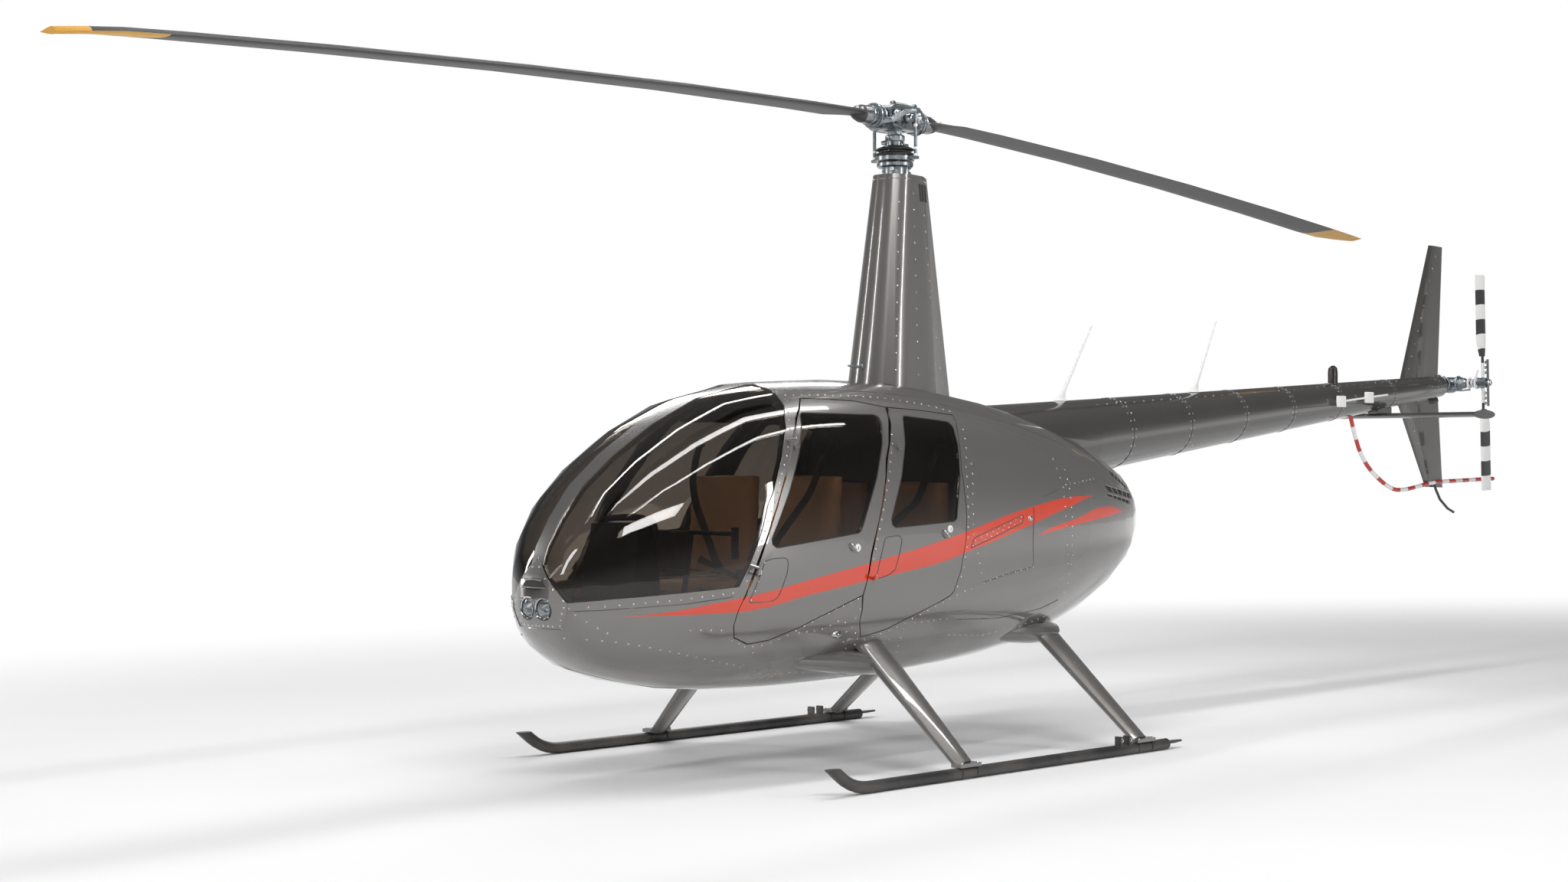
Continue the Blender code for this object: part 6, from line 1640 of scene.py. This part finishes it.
class HELICOPTER_OT_tail_head(bpy.types.Operator):
    """Collars, bolts and links of the tail rotor and its gearbox"""

    bl_idname = "helicopter.tail_head"
    bl_label = "Tail rotor head"

    def execute(self, context):
        x, z = TAIL_AXIS.x, TAIL_AXIS.z
        still, turning = [], []
        for at, r in ((-5.508, 0.060), (-5.535, 0.046), (-5.566, 0.052), (-5.600, 0.040)):
            still.append(spun("housing_ring", band_profile(r, 0.022, 0.007, 0.004),
                              (at + MAST_X, 0, z - 0.005),
                              (1, 0, 0), 28))
        for turn in around(8):
            still.append(spun("housing_bolt", [(0, 0.008), (0.007, 0.008), (0.008, 0), (0, 0)],
                              (-5.515 + MAST_X, 0.050 * math.cos(turn), z - 0.005 + 0.050 * math.sin(turn)),
                              (-1, 0, 0), 6))
        for y, r in ((0.066, 0.050), (0.088, 0.040), (0.112, 0.034)):
            still.append(spun("output_ring", ridge_profile(r, 0.016), (x, y, z), (0, 1, 0), 24))
        still.append(sweep("control_rod", [(-5.46 + MAST_X, 0.055, z - 0.045), (x + 0.02, 0.10, z - 0.05),
                                           (x + 0.01, 0.16, z - 0.045)], 0.006, 10))
        for y, r in ((0.150, 0.036), (0.176, 0.028), (0.205, 0.040), (0.232, 0.026)):
            turning.append(spun("collar", ridge_profile(r, 0.014), (x, y, z), (0, 1, 0), 24))
        for end in (1, -1):
            for dz in (0.070, 0.105, 0.140):
                turning.append(bolt("root_bolt", (x, 0.268, z + dz * end), (0, 1, 0), 0.0085, 0.008))
            turning.append(sweep("pitch_link", [(x + 0.036 * end, 0.205, z + 0.01 * end),
                                                (x + 0.046 * end, 0.240, z + 0.085 * end)], 0.0055, 10))
        turning.append(bolt("hub_nut", (x, 0.300, z), (0, 1, 0), 0.017, 0.012))
        finished(joined("gearbox_fittings", still), "airframe", "bare_metal", "metal")
        finished(joined("tail_head_fittings", turning), "tail_rotor", "bare_metal", "bright")
        return {"FINISHED"}


class HELICOPTER_OT_gear(bpy.types.Operator):
    """Clamps, bolts and wear plates of the landing gear"""

    bl_idname = "helicopter.gear"
    bl_label = "Landing gear fittings"

    def execute(self, context):
        dark, bright = [], []
        for side in (1, -1):
            y = SKID_Y * side
            for x in (0.747, -0.635):
                for shift in (-0.055, 0.055):
                    ring = [(x + shift + MAST_X, y + 0.0305 * math.cos(t), 0.0305 + 0.0285 * math.sin(t))
                            for t in around(24)]
                    dark.append(sweep("clamp", ring, 0.0022, 8, True))
                    for dy in (-0.020, 0.020):
                        bright.append(bolt("clamp_bolt", (x + shift + MAST_X, y + dy, 0.075), (0, 0, 1),
                                           0.006, 0.005))
            for x in (1.30, 0.35, -0.30, -0.72):
                dark.append(block("wear_plate", (x - 0.09 + MAST_X, y - 0.014, 0.0002),
                                  (x + 0.09 + MAST_X, y + 0.014, 0.006),
                                  0.002))
            for x in (-0.440, -0.510):
                bright.append(bolt("bracket_bolt", (x + MAST_X, y + 0.021 * side, 0.078), (0, side, 0), 0.007,
                                   0.006))
        finished(joined("skid_fittings", dark), "airframe", "dark_paint", "dark")
        finished(joined("skid_bolts", bright), "airframe", "bare_metal")
        return {"FINISHED"}


class HELICOPTER_OT_stage(bpy.types.Operator):
    """Camera, floor and studio light"""

    bl_idname = "helicopter.stage"
    bl_label = "Stage"

    def execute(self, context):
        scene = context.scene
        eye = Vector((9.50 + MAST_X, 8.60, 1.531))
        yaw, pitch, roll = 3.925, 0.006, -0.004
        focal_pixels, photo_width, film = 3175.0, 2048.0, 36.0
        look = Vector((math.cos(pitch) * math.cos(yaw), math.cos(pitch) * math.sin(yaw), math.sin(pitch)))
        right = look.cross(Vector((0, 0, 1))).normalized()
        up = right.cross(look)
        right, up = right * math.cos(roll) + up * math.sin(roll), up * math.cos(roll) - right * math.sin(roll)
        lens = bpy.data.cameras.new("camera")
        lens.lens, lens.sensor_width, lens.sensor_fit = focal_pixels / photo_width * film, film, "HORIZONTAL"
        lens.clip_end = 200.0
        camera = bpy.data.objects.new("camera", lens)
        camera.matrix_world = Matrix.Translation(eye) @ Matrix((right, up, -look)).transposed().to_4x4()
        scene.collection.objects.link(camera)
        scene.camera = camera

        clear_selection()
        bpy.ops.mesh.primitive_plane_add(size=120, location=(0, 0, -0.0005))
        floor = context.view_layer.objects.active
        floor.name = "floor"
        pale, tree, shader = new_material(
            "pale floor", {"Emission Strength": 1.0, "Specular IOR Level": 0.0, "Roughness": 0.6})
        cloudy = noise(tree, object_place(tree), 0.6, 5.0)
        tone = mixed(tree, cloudy, (0.80, 0.80, 0.81, 1), (0.86, 0.86, 0.86, 1))
        far = put(tree, "ShaderNodeMapRange",
                  {0: reach(tree, (-0.6, 0.0, 0.0), (0.62, 1.0, 0.0)), 1: 3.6, 2: 9.5},
                  interpolation_type="SMOOTHSTEP").outputs[0]
        faded = mixed(tree, far, tone, (0, 0, 0, 1))
        glow = mixed(tree, far, (0, 0, 0, 1), (1, 1, 1, 1))
        tree.links.new(faded, shader.inputs["Base Color"])
        tree.links.new(glow, shader.inputs["Emission Color"])
        floor.data.materials.append(pale)

        world = bpy.data.worlds.new("studio")
        scene.world = world
        world.use_nodes = True
        tree = world.node_tree
        tree.nodes.clear()
        way = put(tree, "ShaderNodeSeparateXYZ", {0: put(tree, "ShaderNodeTexCoord").outputs["Generated"]})
        ramp = put(tree, "ShaderNodeValToRGB", {0: sum_of(tree, "MULTIPLY_ADD", way.outputs[2], 0.5)})
        ramp.inputs[0].links[0].from_node.inputs[2].default_value = 0.5
        stops = [(0.0, 0.55), (0.49, 0.60), (0.53, 0.34), (0.60, 0.13), (0.74, 0.09), (0.88, 0.16),
                 (1.0, 0.22)]
        for element, (at, level) in zip(ramp.color_ramp.elements, (stops[0], stops[-1])):
            element.position, element.color = at, (level, level, level, 1)
        for at, level in stops[1:-1]:
            ramp.color_ramp.elements.new(at).color = (level, level, level, 1)
        seen = put(tree, "ShaderNodeBackground", {"Color": (1, 1, 1, 1), "Strength": 1.0})
        lit = put(tree, "ShaderNodeBackground", {"Color": ramp.outputs[0], "Strength": 1.0})
        path = put(tree, "ShaderNodeLightPath")
        blend = put(tree, "ShaderNodeMixShader", {0: path.outputs["Is Camera Ray"], 1: lit.outputs[0],
                                                  2: seen.outputs[0]})
        out = put(tree, "ShaderNodeOutputWorld", {0: blend.outputs[0]})
        out.is_active_output = True

        for name, place, aim, size, power in (
                ("key", (5.5, 9.0, 8.0), (0.8, 0, 1.0), (6.0, 1.6), 520.0),
                ("top", (0.5, 0.6, 9.0), (0.5, 0, 1.0), (12.0, 0.7), 330.0),
                ("strip left", (0.0, 4.2, 8.5), (0.5, 0, 1.2), (12.0, 0.25), 170.0),
                ("strip right", (1.0, -3.4, 8.5), (0.5, 0, 1.2), (12.0, 0.25), 170.0),
                ("back", (-6.0, -8.0, 6.5), (0.0, 0, 1.2), (6.0, 1.6), 300.0),
                ("nose", (11.0, -1.0, 5.0), (2.0, 0, 1.0), (0.8, 4.0), 170.0),
                ("tall left", (-4.0, 9.5, 3.6), (0.0, 0, 1.8), (0.5, 4.5), 210.0),
                ("tall right", (6.0, -8.5, 3.6), (0.0, 0, 1.8), (0.5, 4.5), 170.0)):
            light = bpy.data.lights.new(name, "AREA")
            light.shape, light.size, light.size_y, light.energy = "RECTANGLE", size[0], size[1], power
            lamp = bpy.data.objects.new(name, light)
            place = Vector(place) + Vector((MAST_X, 0, 0))
            target = Vector(aim) + Vector((MAST_X, 0, 0))
            lamp.location = place
            lamp.rotation_euler = (target - place).to_track_quat("-Z", "Y").to_euler()
            scene.collection.objects.link(lamp)
        scene.view_settings.view_transform = "Standard"
        return {"FINISHED"}


OPERATORS = [HELICOPTER_OT_stage, HELICOPTER_OT_shells, HELICOPTER_OT_glass, HELICOPTER_OT_airframe,
             HELICOPTER_OT_rivets, HELICOPTER_OT_seams, HELICOPTER_OT_nose, HELICOPTER_OT_louvres,
             HELICOPTER_OT_blades, HELICOPTER_OT_rotor_head, HELICOPTER_OT_seats, HELICOPTER_OT_belts,
             HELICOPTER_OT_cockpit, HELICOPTER_OT_fittings, HELICOPTER_OT_tail_head, HELICOPTER_OT_gear]


class HELICOPTER_PT_sidebar(bpy.types.Panel):
    """Buttons for each piece, with the colours and sizes"""

    bl_idname = "HELICOPTER_PT_sidebar"
    bl_label = "Helicopter"
    bl_space_type = "VIEW_3D"
    bl_region_type = "UI"
    bl_category = "Helicopter"

    def draw(self, context):
        layout = self.layout
        for operator in OPERATORS:
            layout.operator(operator.bl_idname)
        for group in (context.scene.helicopter_colours, context.scene.helicopter_sizes):
            for name in group.bl_rna.properties.keys():
                if name not in ("rna_type", "name"):
                    layout.prop(group, name)


CLASSES = [HelicopterColours, HelicopterSizes] + OPERATORS + [HELICOPTER_PT_sidebar]


def register():
    for made in CLASSES:
        bpy.utils.register_class(made)
    bpy.types.Scene.helicopter_colours = bpy.props.PointerProperty(type=HelicopterColours)
    bpy.types.Scene.helicopter_sizes = bpy.props.PointerProperty(type=HelicopterSizes)


def unregister():
    del bpy.types.Scene.helicopter_colours
    del bpy.types.Scene.helicopter_sizes
    for made in reversed(CLASSES):
        bpy.utils.unregister_class(made)


def main():
    register()
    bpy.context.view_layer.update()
    for operator in OPERATORS:
        group, name = operator.bl_idname.split(".")
        getattr(getattr(bpy.ops, group), name)()


if __name__ == "__main__":
    main()
